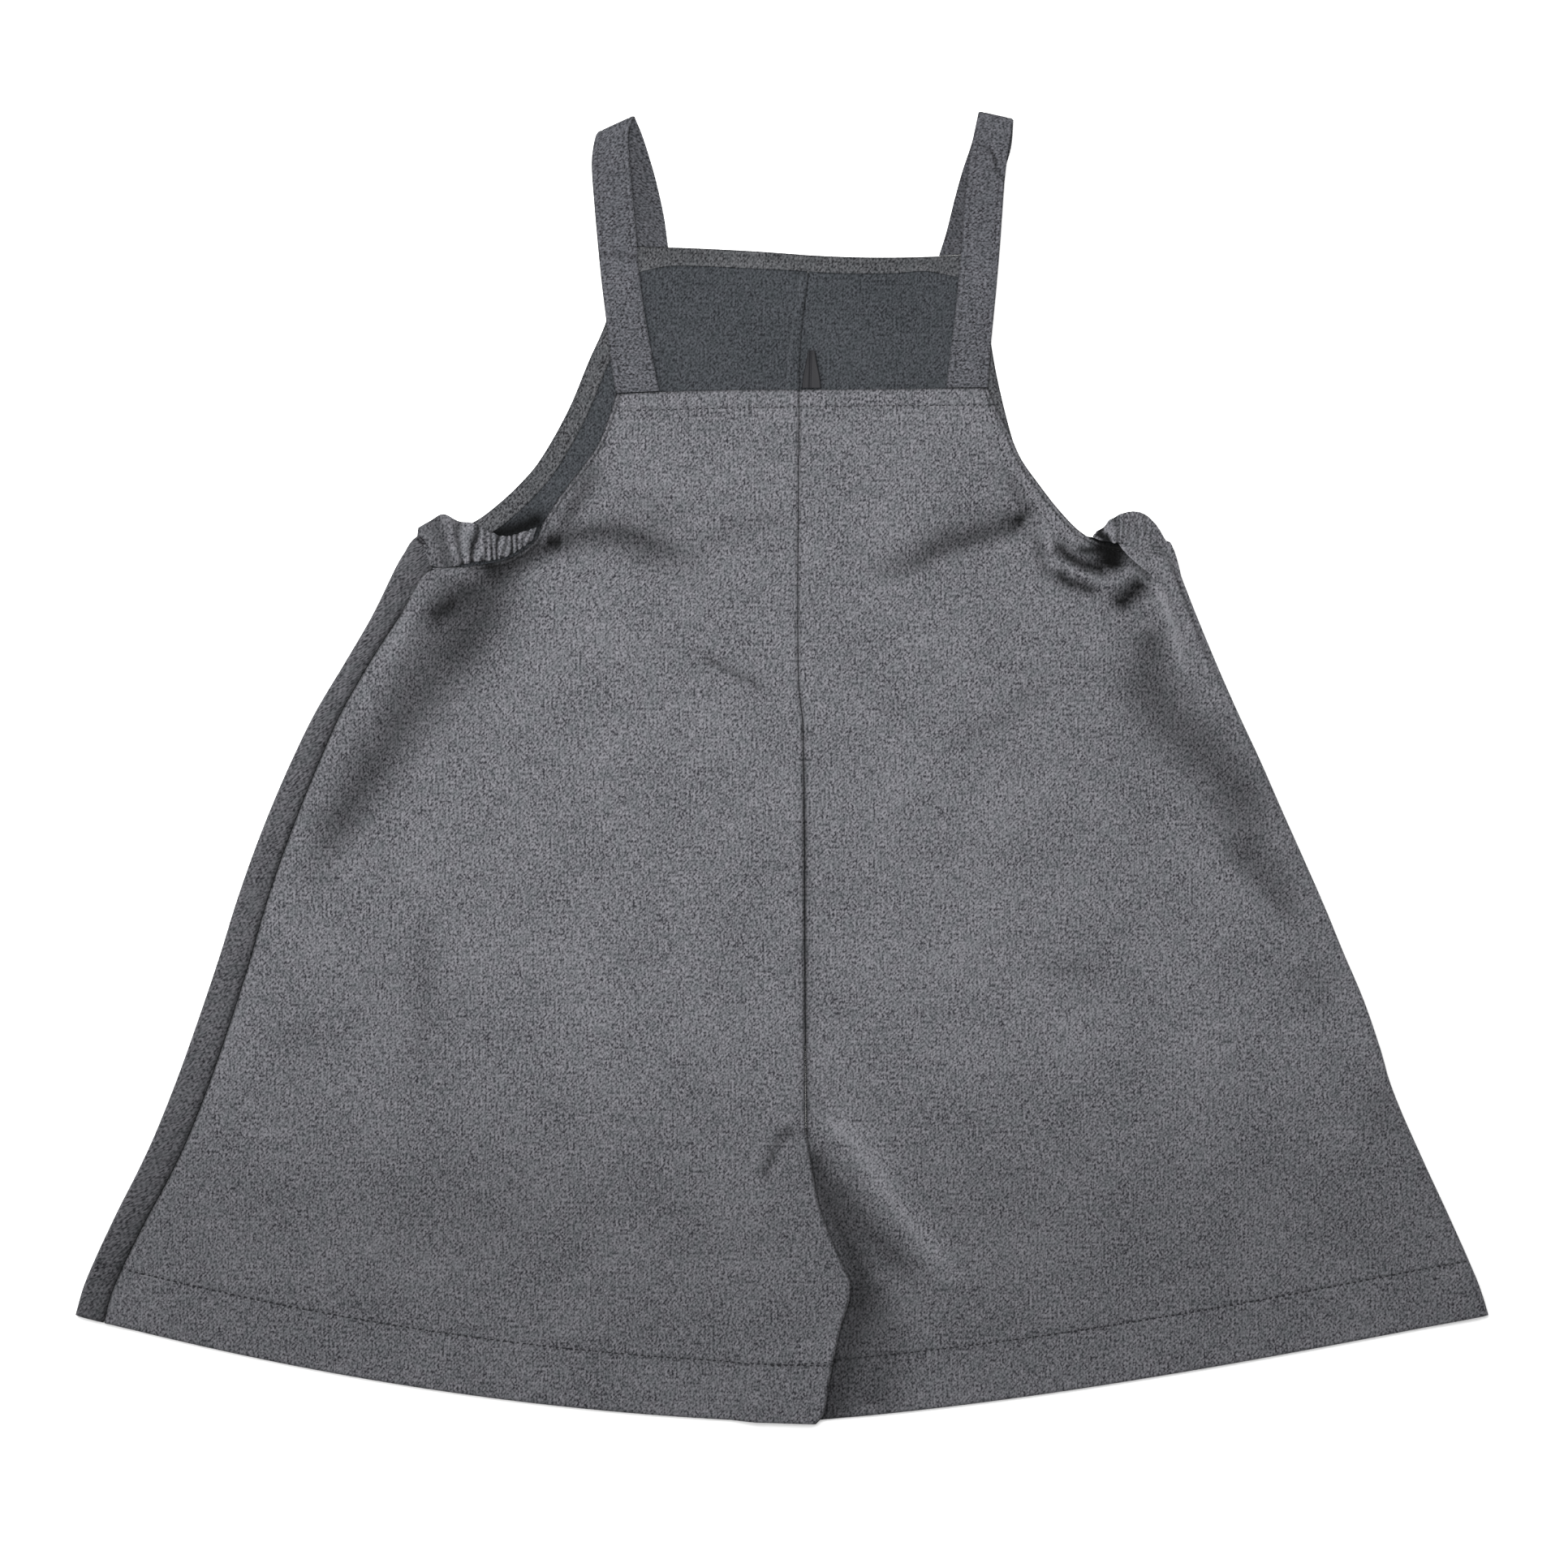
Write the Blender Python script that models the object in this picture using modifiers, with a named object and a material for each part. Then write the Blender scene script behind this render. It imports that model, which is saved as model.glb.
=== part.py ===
"""A child's A-line shortalls, laid flat with the back panel up.

The garment lies on the plane z = 0 with its straps towards +Y. The front panels rest on
the plane, the back panels lie on them, and the left leg lies over the right one below the
crotch. Sizes are in millimetres until the points are placed.
"""

import math
from collections import namedtuple

import bmesh
import bpy
from mathutils import Vector

MM = 0.001

# Cloth and gaps
WALL = 1.0
HEM_WALL = 1.6
STRAP_WALL = 1.4
RIBBON_WALL = 0.8
SEAM_GAP = 0.3
LAYER_GAP = 0.3

# Main sizes of the laid-out garment
HEM_DEPTH = 26.0
HEM_EASE = 8.0
CROTCH_Y = -160.0
CROTCH_EASE = 20.0
CROTCH_LEAD = 4.0
HEM_CORNER_Y = -243.0
INSEAM_END_Y = -291.0
BODY_TOP_INNER_Y = 76.0
LEFT_HEM_HANG = 10.0
RIGHT_HEM_HANG = 5.0
RIGHT_HEM_LEAN = 0.3
HEM_HANG_SHARE = 0.8

# Heights of the upper, near surface
BIB_LEVEL = 4.2
BODY_LEVEL = 3.9
BIB_END_Y = 60.0
BODY_START_Y = 0.0
SIDE_LEVEL = 5.4
SIDE_ROLL_FLAT = 6.0
SIDE_ROLL_FADE = 30.0
CREASE_START = 2.0

# Rounded side fold: how far it reaches in from the outline, and its length round a quarter
FOLD_DEPTH = 4.0
FOLD_QUARTER = 5.3

# How the left leg climbs over the right one
LEG_RAMP = 13.0
LEG_LEAD = 10.0
LEG_PRESS_FADE = 14.0
LEG_CLEARANCE = 0.5
LEG_BAND_LEAD = 3.0

# Mesh steps
UPPER_BODY_STEPS = 10
LEG_STEPS = 6
INNER_STEP = 9.5
ARC_COLUMNS = 4
ARC_SHARE = 0.75

Side = namedtuple("Side", "y left right")
Seam = namedtuple("Seam", "y x")
Armhole = namedtuple("Armhole", "inner_y edge_x edge_y reach curl bow")
Row = namedtuple("Row", "inner_y edge_x edge_y reach curl bow weight")
Columns = namedtuple("Columns", "inner middle fold")
Crease = namedtuple("Crease", "x1 y1 x2 y2 width height")
Station = namedtuple("Station", "left_x left_y right_x right_y")
Band = namedtuple("Band", "upper_x upper_y lower_x lower_y height")
Finish = namedtuple("Finish", "red green blue roughness")

# Columns of each panel: near its centre, across its middle, and round the side fold
BACK_LEFT_COLUMNS = Columns(inner=7, middle=10, fold=0)
BACK_RIGHT_COLUMNS = Columns(inner=7, middle=9, fold=5)
FRONT_LEFT_COLUMNS = Columns(inner=7, middle=4, fold=5)
FRONT_RIGHT_COLUMNS = Columns(inner=7, middle=4, fold=3)

# Outline of the body and legs, from the underarm to the hem corners
OUTLINE = (
    Side(-243.0, -313.4, 313.4),
    Side(-228.6, -309.1, 308.7),
    Side(-199.8, -296.1, 296.1),
    Side(-171.0, -281.7, 282.8),
    Side(-142.2, -269.8, 270.5),
    Side(-113.4, -259.4, 261.9),
    Side(-84.6, -249.7, 250.0),
    Side(-55.8, -240.7, 238.1),
    Side(-27.0, -230.2, 225.2),
    Side(1.8, -218.0, 212.6),
    Side(30.6, -203.6, 199.3),
    Side(59.4, -185.8, 187.0),
    Side(88.2, -171.5, 175.5),
    Side(104.4, -161.5, 167.9),
)

# Distance of the side seams from the outline: the left one lies on the near side, the
# right one has rolled round the edge to the far side
SEAM_FROM_OUTLINE = (
    Side(-243.0, 14.2, -16.0),
    Side(-225.0, 13.8, -15.5),
    Side(-171.0, 15.1, -14.5),
    Side(-113.4, 15.0, -13.0),
    Side(-55.8, 14.2, -11.5),
    Side(1.8, 13.3, -10.0),
    Side(30.6, 12.3, -9.0),
    Side(61.0, 12.2, -8.0),
    Side(75.0, 15.0, -7.5),
    Side(90.0, 17.6, -7.0),
)

CENTRE_BACK = (
    Seam(-160.0, 10.6),
    Seam(-110.0, 10.3),
    Seam(16.0, 9.4),
    Seam(41.0, 7.2),
    Seam(167.0, 7.6),
)

CENTRE_FRONT = (
    Seam(-160.0, 10.6),
    Seam(60.0, 8.2),
    Seam(170.0, 7.2),
    Seam(192.0, 8.0),
    Seam(227.5, 12.6),
)

LEFT_INSEAM = (
    Seam(-291.0, 15.0),
    Seam(-286.6, 18.5),
    Seam(-271.8, 21.1),
    Seam(-248.8, 26.1),
    Seam(-237.2, 29.7),
    Seam(-228.6, 30.4),
    Seam(-221.0, 27.2),
    Seam(-207.0, 21.1),
    Seam(-192.0, 16.0),
    Seam(-160.0, 10.6),
)

RIGHT_INSEAM = (
    Seam(-291.0, -1.3),
    Seam(-260.0, -5.6),
    Seam(-228.6, -10.3),
    Seam(-192.0, 2.3),
    Seam(-170.0, 8.8),
    Seam(-160.0, 10.9),
)

# Armhole and top edges: each row runs from the centre seam to a point of the edge. Reach
# is how far the cloth goes on past the outline, curl how far it rolls into the side fold,
# bow how far the middle of the row hangs below a straight line
BACK_LEFT_TOP = (
    Armhole(167.2, -73.6, 165.2, 0.0, 0.0, -0.6),
    Armhole(157.0, -76.9, 154.8, 0.0, 0.0, 0.0),
    Armhole(144.5, -82.3, 141.8, 0.0, 0.0, 0.0),
    Armhole(132.0, -91.6, 129.0, 0.0, 0.0, 0.0),
    Armhole(121.5, -99.2, 119.0, 0.0, 0.0, 0.0),
    Armhole(111.0, -105.7, 108.4, 0.0, 0.0, 0.0),
    Armhole(102.0, -110.3, 99.4, 0.0, 0.0, 0.0),
    Armhole(94.0, -121.9, 92.2, 0.0, 0.0, 0.0),
    Armhole(87.5, -134.5, 89.6, 0.0, 0.0, 0.0),
    Armhole(82.0, -145.3, 88.4, 0.0, 0.0, 0.0),
)

BACK_RIGHT_TOP = (
    Armhole(167.2, 91.3, 167.9, 0.0, 0.0, 0.0),
    Armhole(158.0, 95.0, 159.0, 0.0, 0.0, 0.0),
    Armhole(147.5, 101.0, 147.5, 0.0, 0.0, 0.0),
    Armhole(137.5, 106.0, 136.5, 0.0, 0.0, 0.0),
    Armhole(127.5, 113.5, 125.8, 0.0, 0.0, 0.0),
    Armhole(117.5, 122.5, 114.2, 0.0, 0.0, 0.0),
    Armhole(108.5, 131.9, 104.5, 0.0, 0.0, 0.0),
    Armhole(101.0, 141.0, 99.5, 0.0, 0.0, 0.0),
    Armhole(94.5, 150.5, 97.6, 0.0, 0.0, 0.0),
    Armhole(89.5, 161.0, 96.8, 0.0, 0.1, 0.0),
    Armhole(85.0, 170.4, 95.4, 0.0, 0.5, 0.0),
    Armhole(80.5, 173.6, 91.8, 2.4, 1.0, 0.0),
)

FRONT_LEFT_TOP = (
    Armhole(227.2, -68.6, 231.1, 0.0, 0.0, -0.7),
    Armhole(210.0, -74.3, 212.4, 0.0, 0.0, -0.3),
    Armhole(193.0, -78.7, 196.2, 0.0, 0.0, 0.0),
    Armhole(177.0, -85.9, 180.0, 0.0, 0.0, 0.0),
    Armhole(156.0, -94.9, 158.4, 0.0, 0.0, 0.0),
    Armhole(136.0, -107.1, 136.8, 0.0, 0.0, 0.0),
    Armhole(124.0, -117.0, 125.0, 0.0, 0.0, 0.0),
    Armhole(112.0, -128.0, 115.0, 0.0, 0.0, 0.0),
    Armhole(103.0, -137.2, 108.6, 0.0, 0.0, 0.0),
    Armhole(96.0, -147.1, 105.4, 0.0, 0.0, 0.0),
    Armhole(90.5, -155.6, 104.8, 0.0, 0.4, 0.0),
    Armhole(86.0, -161.6, 102.4, 0.0, 1.0, 0.0),
    Armhole(82.0, -164.8, 99.6, 4.5, 1.0, 0.0),
    Armhole(79.0, -167.2, 95.6, 12.0, 1.0, 0.0),
)

FRONT_RIGHT_TOP = (
    Armhole(227.2, 88.0, 227.9, 0.0, 0.0, 1.3),
    Armhole(208.0, 90.2, 207.0, 0.0, 0.0, 0.5),
    Armhole(188.0, 93.1, 186.5, 0.0, 0.0, 0.0),
    Armhole(170.0, 96.3, 169.2, 0.0, 0.0, 0.0),
    Armhole(149.0, 101.7, 147.6, 0.0, 0.0, 0.0),
    Armhole(138.0, 105.9, 136.4, 0.0, 0.0, 0.0),
    Armhole(127.5, 113.3, 125.7, 0.0, 0.0, 0.0),
    Armhole(117.0, 122.0, 114.4, 0.0, 0.0, 0.0),
    Armhole(108.0, 131.6, 104.2, 0.0, 0.0, 0.0),
    Armhole(100.0, 143.5, 98.8, 0.0, 0.0, 0.0),
    Armhole(93.0, 156.5, 96.9, 0.0, 0.0, 0.0),
    Armhole(86.0, 165.0, 95.4, 0.0, 0.0, 0.0),
)

# Edge points of the front facings
NECK_FACING_LOWER = (
    Seam(-66.0, 218.6),
    Seam(-61.0, 220.2),
    Seam(-48.4, 222.4),
    Seam(-16.4, 221.4),
    Seam(5.9, 220.3),
    Seam(23.9, 219.2),
    Seam(47.7, 219.0),
    Seam(63.9, 220.0),
    Seam(76.9, 217.6),
    Seam(85.0, 216.0),
)
FACING_WIDTH = 8.2
FACING_INSET = 0.2
FACING_ROWS = 9
LEFT_FACING_TOP_Y = 216.5
RIGHT_FACING_TOP_Y = 213.0
FACING_LEVEL = WALL + LAYER_GAP + WALL
ALLOWANCE_WIDTH_TOP = 3.4
ALLOWANCE_WIDTH = 6.4
ALLOWANCE_TOP_Y = 219.0
ALLOWANCE_END_Y = -122.0

# Main folds of the near surface, as soft troughs (below zero) and ridges (above zero)
CREASES = (
    Crease(-116.5, 91.0, -145.3, 52.2, 9.0, -1.0),
    Crease(-145.3, 52.2, -202.9, -41.4, 10.0, -0.8),
    Crease(-97.0, 88.0, -116.5, 59.4, 9.0, 1.1),
    Crease(-116.5, 59.4, -180.0, -38.0, 11.0, 0.9),
    Crease(-98.5, 106.0, -73.3, 106.2, 7.0, -0.6),
    Crease(-73.3, 106.2, -40.9, 91.8, 8.0, -0.5),
    Crease(114.0, 112.0, 100.0, 109.8, 6.0, -0.8),
    Crease(100.0, 109.8, 49.1, 85.7, 8.0, -0.8),
    Crease(117.5, 41.4, 67.1, 5.4, 8.0, -0.5),
    Crease(157.1, 59.4, 185.9, 16.2, 9.0, -1.0),
    Crease(185.9, 16.2, 222.0, -60.0, 10.0, -0.7),
    Crease(158.0, 84.0, 165.0, 77.0, 7.0, 1.2),
    Crease(165.0, 77.0, 174.0, 62.0, 7.0, 1.2),
    Crease(174.0, 62.0, 189.0, 27.0, 7.0, 0.9),
    Crease(134.0, 98.0, 141.0, 90.0, 6.0, -1.4),
    Crease(124.7, 97.0, 133.0, 85.0, 5.0, 1.4),
    Crease(133.0, 85.0, 148.0, 80.5, 5.0, 1.4),
    Crease(16.0, -158.0, 81.5, -228.6, 8.0, 1.5),
    Crease(-22.9, -171.0, -37.3, -214.0, 10.0, 0.8),
)

# Straps, from the back, over the fold at the top, to the front
LEFT_STRAP_NEAR = (
    Station(-73.6, 165.8, -54.3, 166.6),
    Station(-75.1, 174.2, -56.0, 174.2),
    Station(-77.6, 195.1, -59.9, 195.1),
    Station(-80.1, 215.6, -63.2, 217.0),
    Station(-81.9, 234.0, -64.6, 235.8),
    Station(-83.3, 250.2, -66.1, 252.0),
    Station(-84.4, 266.4, -67.5, 268.0),
    Station(-83.7, 275.0, -68.2, 280.5),
)
LEFT_STRAP_TIP = Station(-82.3, 281.5, -65.7, 289.1)
LEFT_STRAP_FAR = (
    Station(-79.4, 275.0, -62.1, 280.5),
    Station(-75.4, 264.6, -57.4, 265.6),
    Station(-72.5, 254.2, -54.5, 254.2),
    Station(-70.4, 244.1, -52.4, 244.1),
    Station(-68.6, 231.6, -50.6, 231.6),
)
RIGHT_STRAP_NEAR = (
    Station(72.9, 168.1, 91.3, 168.3),
    Station(74.0, 178.9, 92.0, 178.9),
    Station(75.8, 192.6, 93.1, 192.0),
    Station(77.6, 208.4, 94.5, 206.3),
    Station(78.7, 220.7, 95.6, 218.5),
    Station(79.9, 233.0, 96.7, 231.5),
    Station(80.6, 246.6, 97.7, 246.0),
    Station(82.3, 261.0, 98.8, 260.5),
    Station(84.1, 275.4, 100.3, 273.3),
)
RIGHT_STRAP_TIP = Station(87.3, 291.0, 102.8, 287.6)
RIGHT_STRAP_FAR = (
    Station(84.4, 277.6, 101.7, 275.0),
    Station(80.1, 264.6, 98.1, 262.9),
    Station(76.5, 251.6, 94.5, 250.3),
    Station(72.9, 237.2, 90.9, 236.5),
    Station(70.0, 228.5, 88.0, 228.5),
)
STRAP_TOP = 4.2
STRAP_FOLD_ANGLES = (60.0, 30.0, 0.0, -30.0, -60.0)

# Gathered elastic casings under the arms
LEFT_CASING = (
    Band(-108.9, 106.2, -110.3, 100.8, 4.4),
    Band(-115.4, 104.0, -116.5, 96.3, 4.7),
    Band(-122.2, 102.2, -122.9, 93.0, 4.9),
    Band(-129.1, 104.0, -129.8, 91.4, 5.0),
    Band(-136.3, 107.6, -136.6, 90.8, 5.0),
    Band(-143.5, 109.1, -143.1, 90.6, 5.0),
    Band(-150.3, 112.0, -148.9, 91.8, 5.0),
    Band(-155.9, 108.9, -152.6, 96.4, 4.9),
    Band(-160.4, 106.4, -156.6, 100.0, 4.8),
)
RIGHT_CASING = (
    Band(138.4, 103.4, 137.7, 102.0, 4.6),
    Band(142.0, 106.0, 141.6, 100.3, 4.9),
    Band(145.6, 109.6, 145.8, 99.5, 5.1),
    Band(150.7, 112.3, 150.7, 98.7, 5.2),
    Band(155.7, 113.2, 155.7, 98.2, 5.2),
    Band(160.7, 112.0, 160.7, 97.8, 5.2),
    Band(165.8, 107.3, 165.8, 97.4, 5.1),
    Band(170.0, 100.6, 169.2, 97.3, 4.9),
)
LEFT_GATHERS = 10
RIGHT_GATHERS = 6
GATHER_HEIGHT = 0.6
GATHER_UNEVENNESS = 0.25
GATHER_DRIFT = 2.3
GATHER_STEPS = 4
GATHER_FADE = 10
CASING_CURL = 0.5

# Ribbon loop behind the top edge
LOOP_X = 13.1
LOOP_BASE_Y = 168.0
LOOP_TOP_Y = 184.7
LOOP_BASE_WIDTH = 8.4
LOOP_TOP_WIDTH = 3.2
LOOP_LEVEL = 3.5

SUITING = Finish(0.19, 0.19, 0.205, 0.92)
SUITING_INSIDE = Finish(0.07, 0.075, 0.085, 0.95)
RIBBON = Finish(0.006, 0.006, 0.007, 0.6)

LEFT = -1
RIGHT = 1


def smooth(value):
    """Ease from 0 to 1 as the value goes from 0 to 1."""
    value = min(max(value, 0.0), 1.0)
    return value * value * (3.0 - 2.0 * value)


def mix(first, second, share):
    """Straight blend of two numbers."""
    return first + (second - first) * share


def read(table, key, column, value):
    """Value of a column where the key column has the given value.

    A smooth curve runs through the rows, and past the ends it goes on straight.
    """
    keys = [getattr(row, key) for row in table]
    values = [getattr(row, column) for row in table]
    last = len(table) - 1
    slopes = []
    for index in range(last + 1):
        low = max(index - 1, 0)
        high = min(index + 1, last)
        slopes.append((values[high] - values[low]) / (keys[high] - keys[low]))
    if value <= keys[0]:
        return values[0] + slopes[0] * (value - keys[0])
    if value >= keys[last]:
        return values[last] + slopes[last] * (value - keys[last])
    index = max(i for i in range(last) if keys[i] <= value)
    span = keys[index + 1] - keys[index]
    t = (value - keys[index]) / span
    rise = values[index + 1] - values[index]
    start = slopes[index] * span
    end = slopes[index + 1] * span
    return values[index] + t * (start + t * ((3.0 * rise - 2.0 * start - end)
                                             + t * (start + end - 2.0 * rise)))


def outline_x(side, y):
    """Outline of the body and legs on one side."""
    return read(OUTLINE, "y", "left" if side == LEFT else "right", y)


def inseam_x(side, y):
    """Inner edge of a leg below the crotch."""
    return read(LEFT_INSEAM if side == LEFT else RIGHT_INSEAM, "y", "x", y)


def centre_x(side, near, y):
    """Inner edge of a panel: the centre seam, and below the crotch the leg's edge."""
    if y <= CROTCH_Y:
        return inseam_x(side, y)
    seam = read(CENTRE_BACK if near else CENTRE_FRONT, "y", "x", y)
    return seam + side * SEAM_GAP / 2.0


def hem_bow(side, share):
    """How far the hem hangs below a straight line, from the outer corner inwards."""
    hang, lean = (LEFT_HEM_HANG, 0.0) if side == LEFT else (RIGHT_HEM_HANG, RIGHT_HEM_LEAN)
    return hang * 4.0 * share * (1.0 - share) * (1.0 + lean * (2.0 * share - 1.0))


def hem_y(side, x):
    """Bottom edge of a leg at a given x."""
    corner = outline_x(side, HEM_CORNER_Y)
    end = inseam_x(side, INSEAM_END_Y)
    share = min(max((x - corner) / (end - corner), 0.0), 1.0)
    return mix(HEM_CORNER_Y, INSEAM_END_Y, share) - hem_bow(side, share)


def wall_at(side, x, y):
    """Thickness of a panel's wall, which is doubled and pressed at the hem."""
    above = y - hem_y(side, x) - HEM_DEPTH
    return mix(HEM_WALL, WALL, smooth(above / HEM_EASE))


def leg_split(y):
    """From 0 above the crotch to 1 where one leg lies over the other."""
    return smooth((CROTCH_Y + CROTCH_LEAD + CROTCH_EASE - y) / CROTCH_EASE)


def flat_leg(side, x, y):
    """Thickness of a leg that is pressed flat."""
    return 2.0 * wall_at(side, x, y) + LAYER_GAP


def far_level(side, x, y):
    """Height of the far surface, which the left leg lifts off the plane over the right."""
    if side == RIGHT:
        return 0.0
    edge = inseam_x(RIGHT, min(y, CROTCH_Y))
    climb = smooth((x - edge + LEG_RAMP + LEG_LEAD) / LEG_RAMP)
    return leg_split(y) * climb * (flat_leg(RIGHT, x, y - LEG_BAND_LEAD) + LEG_CLEARANCE)


def crease_height(x, y):
    """Sum of the soft folds at a point."""
    total = 0.0
    for crease in CREASES:
        run_x = crease.x2 - crease.x1
        run_y = crease.y2 - crease.y1
        along = ((x - crease.x1) * run_x + (y - crease.y1) * run_y) / (run_x ** 2 + run_y ** 2)
        along = min(max(along, 0.0), 1.0)
        gap = math.hypot(x - crease.x1 - run_x * along, y - crease.y1 - run_y * along)
        total += crease.height * math.exp(-(gap / crease.width) ** 2)
    return total


def near_level(side, x, y):
    """Height of the near surface."""
    level = mix(BODY_LEVEL, BIB_LEVEL, smooth((y - BODY_START_Y) / (BIB_END_Y - BODY_START_Y)))
    inward = abs(x - outline_x(side, y))
    roll = 1.0 - smooth((inward - SIDE_ROLL_FLAT) / SIDE_ROLL_FADE)
    level = mix(level, SIDE_LEVEL, roll)
    level += crease_height(x, y) * smooth((inward - CREASE_START) / SIDE_ROLL_FLAT)
    flat = flat_leg(side, x, y)
    hidden_layer = WALL + LAYER_GAP if y > ALLOWANCE_END_Y - CROTCH_EASE / 2.0 else 0.0
    level = max(level, flat + hidden_layer)
    if side == LEFT:
        edge = inseam_x(RIGHT, min(y, CROTCH_Y))
        pressed = smooth((x - edge + LEG_RAMP) / LEG_RAMP)
    else:
        edge = inseam_x(LEFT, min(y, CROTCH_Y))
        pressed = 1.0 - smooth((x - edge - LEG_LEAD) / LEG_PRESS_FADE)
    return far_level(side, x, y) + mix(level, flat, pressed * leg_split(y))


def row_shares():
    """How far down the body each row lies: one is at the crotch and one at the hem's top."""
    stretch = OUTLINE[-2].y - HEM_CORNER_Y
    crotch = (BODY_TOP_INNER_Y - CROTCH_Y) / (BODY_TOP_INNER_Y - INSEAM_END_Y)
    eased = 1.0 - (HEM_DEPTH + HEM_EASE) / stretch
    shares = [crotch * step / UPPER_BODY_STEPS for step in range(UPPER_BODY_STEPS)]
    shares += [mix(crotch, eased, step / LEG_STEPS) for step in range(LEG_STEPS + 1)]
    return shares + [1.0 - HEM_DEPTH / stretch, 1.0 - HEM_DEPTH / 2.0 / stretch, 1.0]


def body_rows(side, near):
    """Rows of a panel from the underarm to the hem, which near and far panels share."""
    rows = []
    for share in row_shares():
        edge_y = mix(OUTLINE[-2].y, HEM_CORNER_Y, share)
        seam = read(SEAM_FROM_OUTLINE, "y", "left" if side == LEFT else "right", edge_y)
        rows.append(Row(
            inner_y=mix(BODY_TOP_INNER_Y, INSEAM_END_Y, share),
            edge_x=outline_x(side, edge_y),
            edge_y=edge_y,
            reach=(-seam if near else seam) - SEAM_GAP / 2.0,
            curl=1.0,
            bow=0.0,
            weight=smooth(share / HEM_HANG_SHARE),
        ))
    return rows


def column_place(row, width, column, columns):
    """Distance of a column from the outline, counted in from it, and below zero past it."""
    step = min(INNER_STEP, width / sum(columns))
    if column <= columns.inner:
        return width - step * column
    round_knee = max(FOLD_QUARTER, columns.fold - row.reach) if columns.fold else -row.reach
    knee = mix(width * columns.fold / sum(columns), round_knee, row.curl)
    column -= columns.inner
    if column <= columns.middle:
        return mix(width - step * columns.inner, knee, column / columns.middle)
    column -= columns.middle
    if row.reach <= 0.0:
        return mix(knee, -row.reach, column / columns.fold)
    arc_end = -min(row.reach * ARC_SHARE, FOLD_QUARTER)
    if column <= ARC_COLUMNS:
        return mix(knee, arc_end, column / ARC_COLUMNS)
    return mix(arc_end, -row.reach, (column - ARC_COLUMNS) / (columns.fold - ARC_COLUMNS))


def panel_point(side, near, row, column, columns):
    """Point of a panel's outer face on one of its rows."""
    inner_x = centre_x(side, near, row.inner_y)
    width = abs(row.edge_x - inner_x) + (FOLD_QUARTER - FOLD_DEPTH) * row.curl
    place = column_place(row, width, column, columns)
    angle = min(abs(place) / FOLD_QUARTER, 1.0) * math.pi / 2.0
    bent = FOLD_DEPTH * (1.0 - math.cos(angle)) + max(abs(place) - FOLD_QUARTER, 0.0)
    x = row.edge_x - side * mix(place, bent, row.curl)
    across = (x - row.edge_x) / (inner_x - row.edge_x)
    hang = row.bow * 4.0 * across * (1.0 - across)
    hang += row.weight * hem_bow(side, min(max(across, 0.0), 1.0))
    y = mix(row.edge_y, row.inner_y, across) - hang
    turn = math.copysign(math.sin(angle), place) * (1.0 if near else -1.0)
    raised = mix(1.0 if near else 0.0, (1.0 + turn) / 2.0, row.curl)
    return x, y, mix(far_level(side, x, y), near_level(side, x, y), raised)


def material(name, finish):
    """Plain cloth finish."""
    made = bpy.data.materials.new(name)
    made.use_nodes = True
    shader = made.node_tree.nodes["Principled BSDF"]
    shader.inputs["Base Color"].default_value = (finish.red, finish.green, finish.blue, 1.0)
    shader.inputs["Roughness"].default_value = finish.roughness
    shader.inputs["Metallic"].default_value = 0.0
    return made


def cloth_sheet(collection, name, columns, rows, place, wall, finish, faces_up, wall_share=None):
    """Make a named piece: a grid laid on place(column, row), given a wall inwards."""
    mesh = bpy.data.meshes.new(name)
    grid = bmesh.new()
    bmesh.ops.create_grid(grid, x_segments=columns, y_segments=rows, size=0.5)
    shares = {}
    first = None
    for vertex in grid.verts:
        column = round((vertex.co.x + 0.5) * columns)
        row = round((0.5 - vertex.co.y) * rows)
        x, y, z = place(column, row)
        vertex.co = Vector((x, y, z)) * MM
        shares[vertex.index] = wall_share(x, y) if wall_share else 1.0
        if column == 0 and row == 0:
            first = vertex
    grid.normal_update()
    if (first.link_faces[0].normal.z > 0.0) != faces_up:
        bmesh.ops.reverse_faces(grid, faces=grid.faces[:])
    grid.to_mesh(mesh)
    grid.free()
    piece = bpy.data.objects.new(name, mesh)
    collection.objects.link(piece)
    mesh.materials.append(material(name, finish))
    group = piece.vertex_groups.new(name="wall")
    for index, share in shares.items():
        group.add([index], share, "REPLACE")
    solid = piece.modifiers.new("Wall", "SOLIDIFY")
    solid.thickness = wall * MM
    solid.offset = -1.0
    solid.use_quality_normals = True
    solid.vertex_group = group.name
    solid.thickness_vertex_group = 0.0
    return piece


def make_panel(collection, name, side, near, top, columns):
    """Make one half of the back (near) or of the front (far), with its leg."""
    rows = [Row(*row, weight=0.0) for row in top] + body_rows(side, near)

    def place(column, row):
        return panel_point(side, near, rows[row], column, columns)

    def wall_share(x, y):
        return wall_at(side, x, y) / HEM_WALL

    return cloth_sheet(collection, name, sum(columns), len(rows) - 1, place, HEM_WALL,
                       SUITING, near, wall_share)


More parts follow.
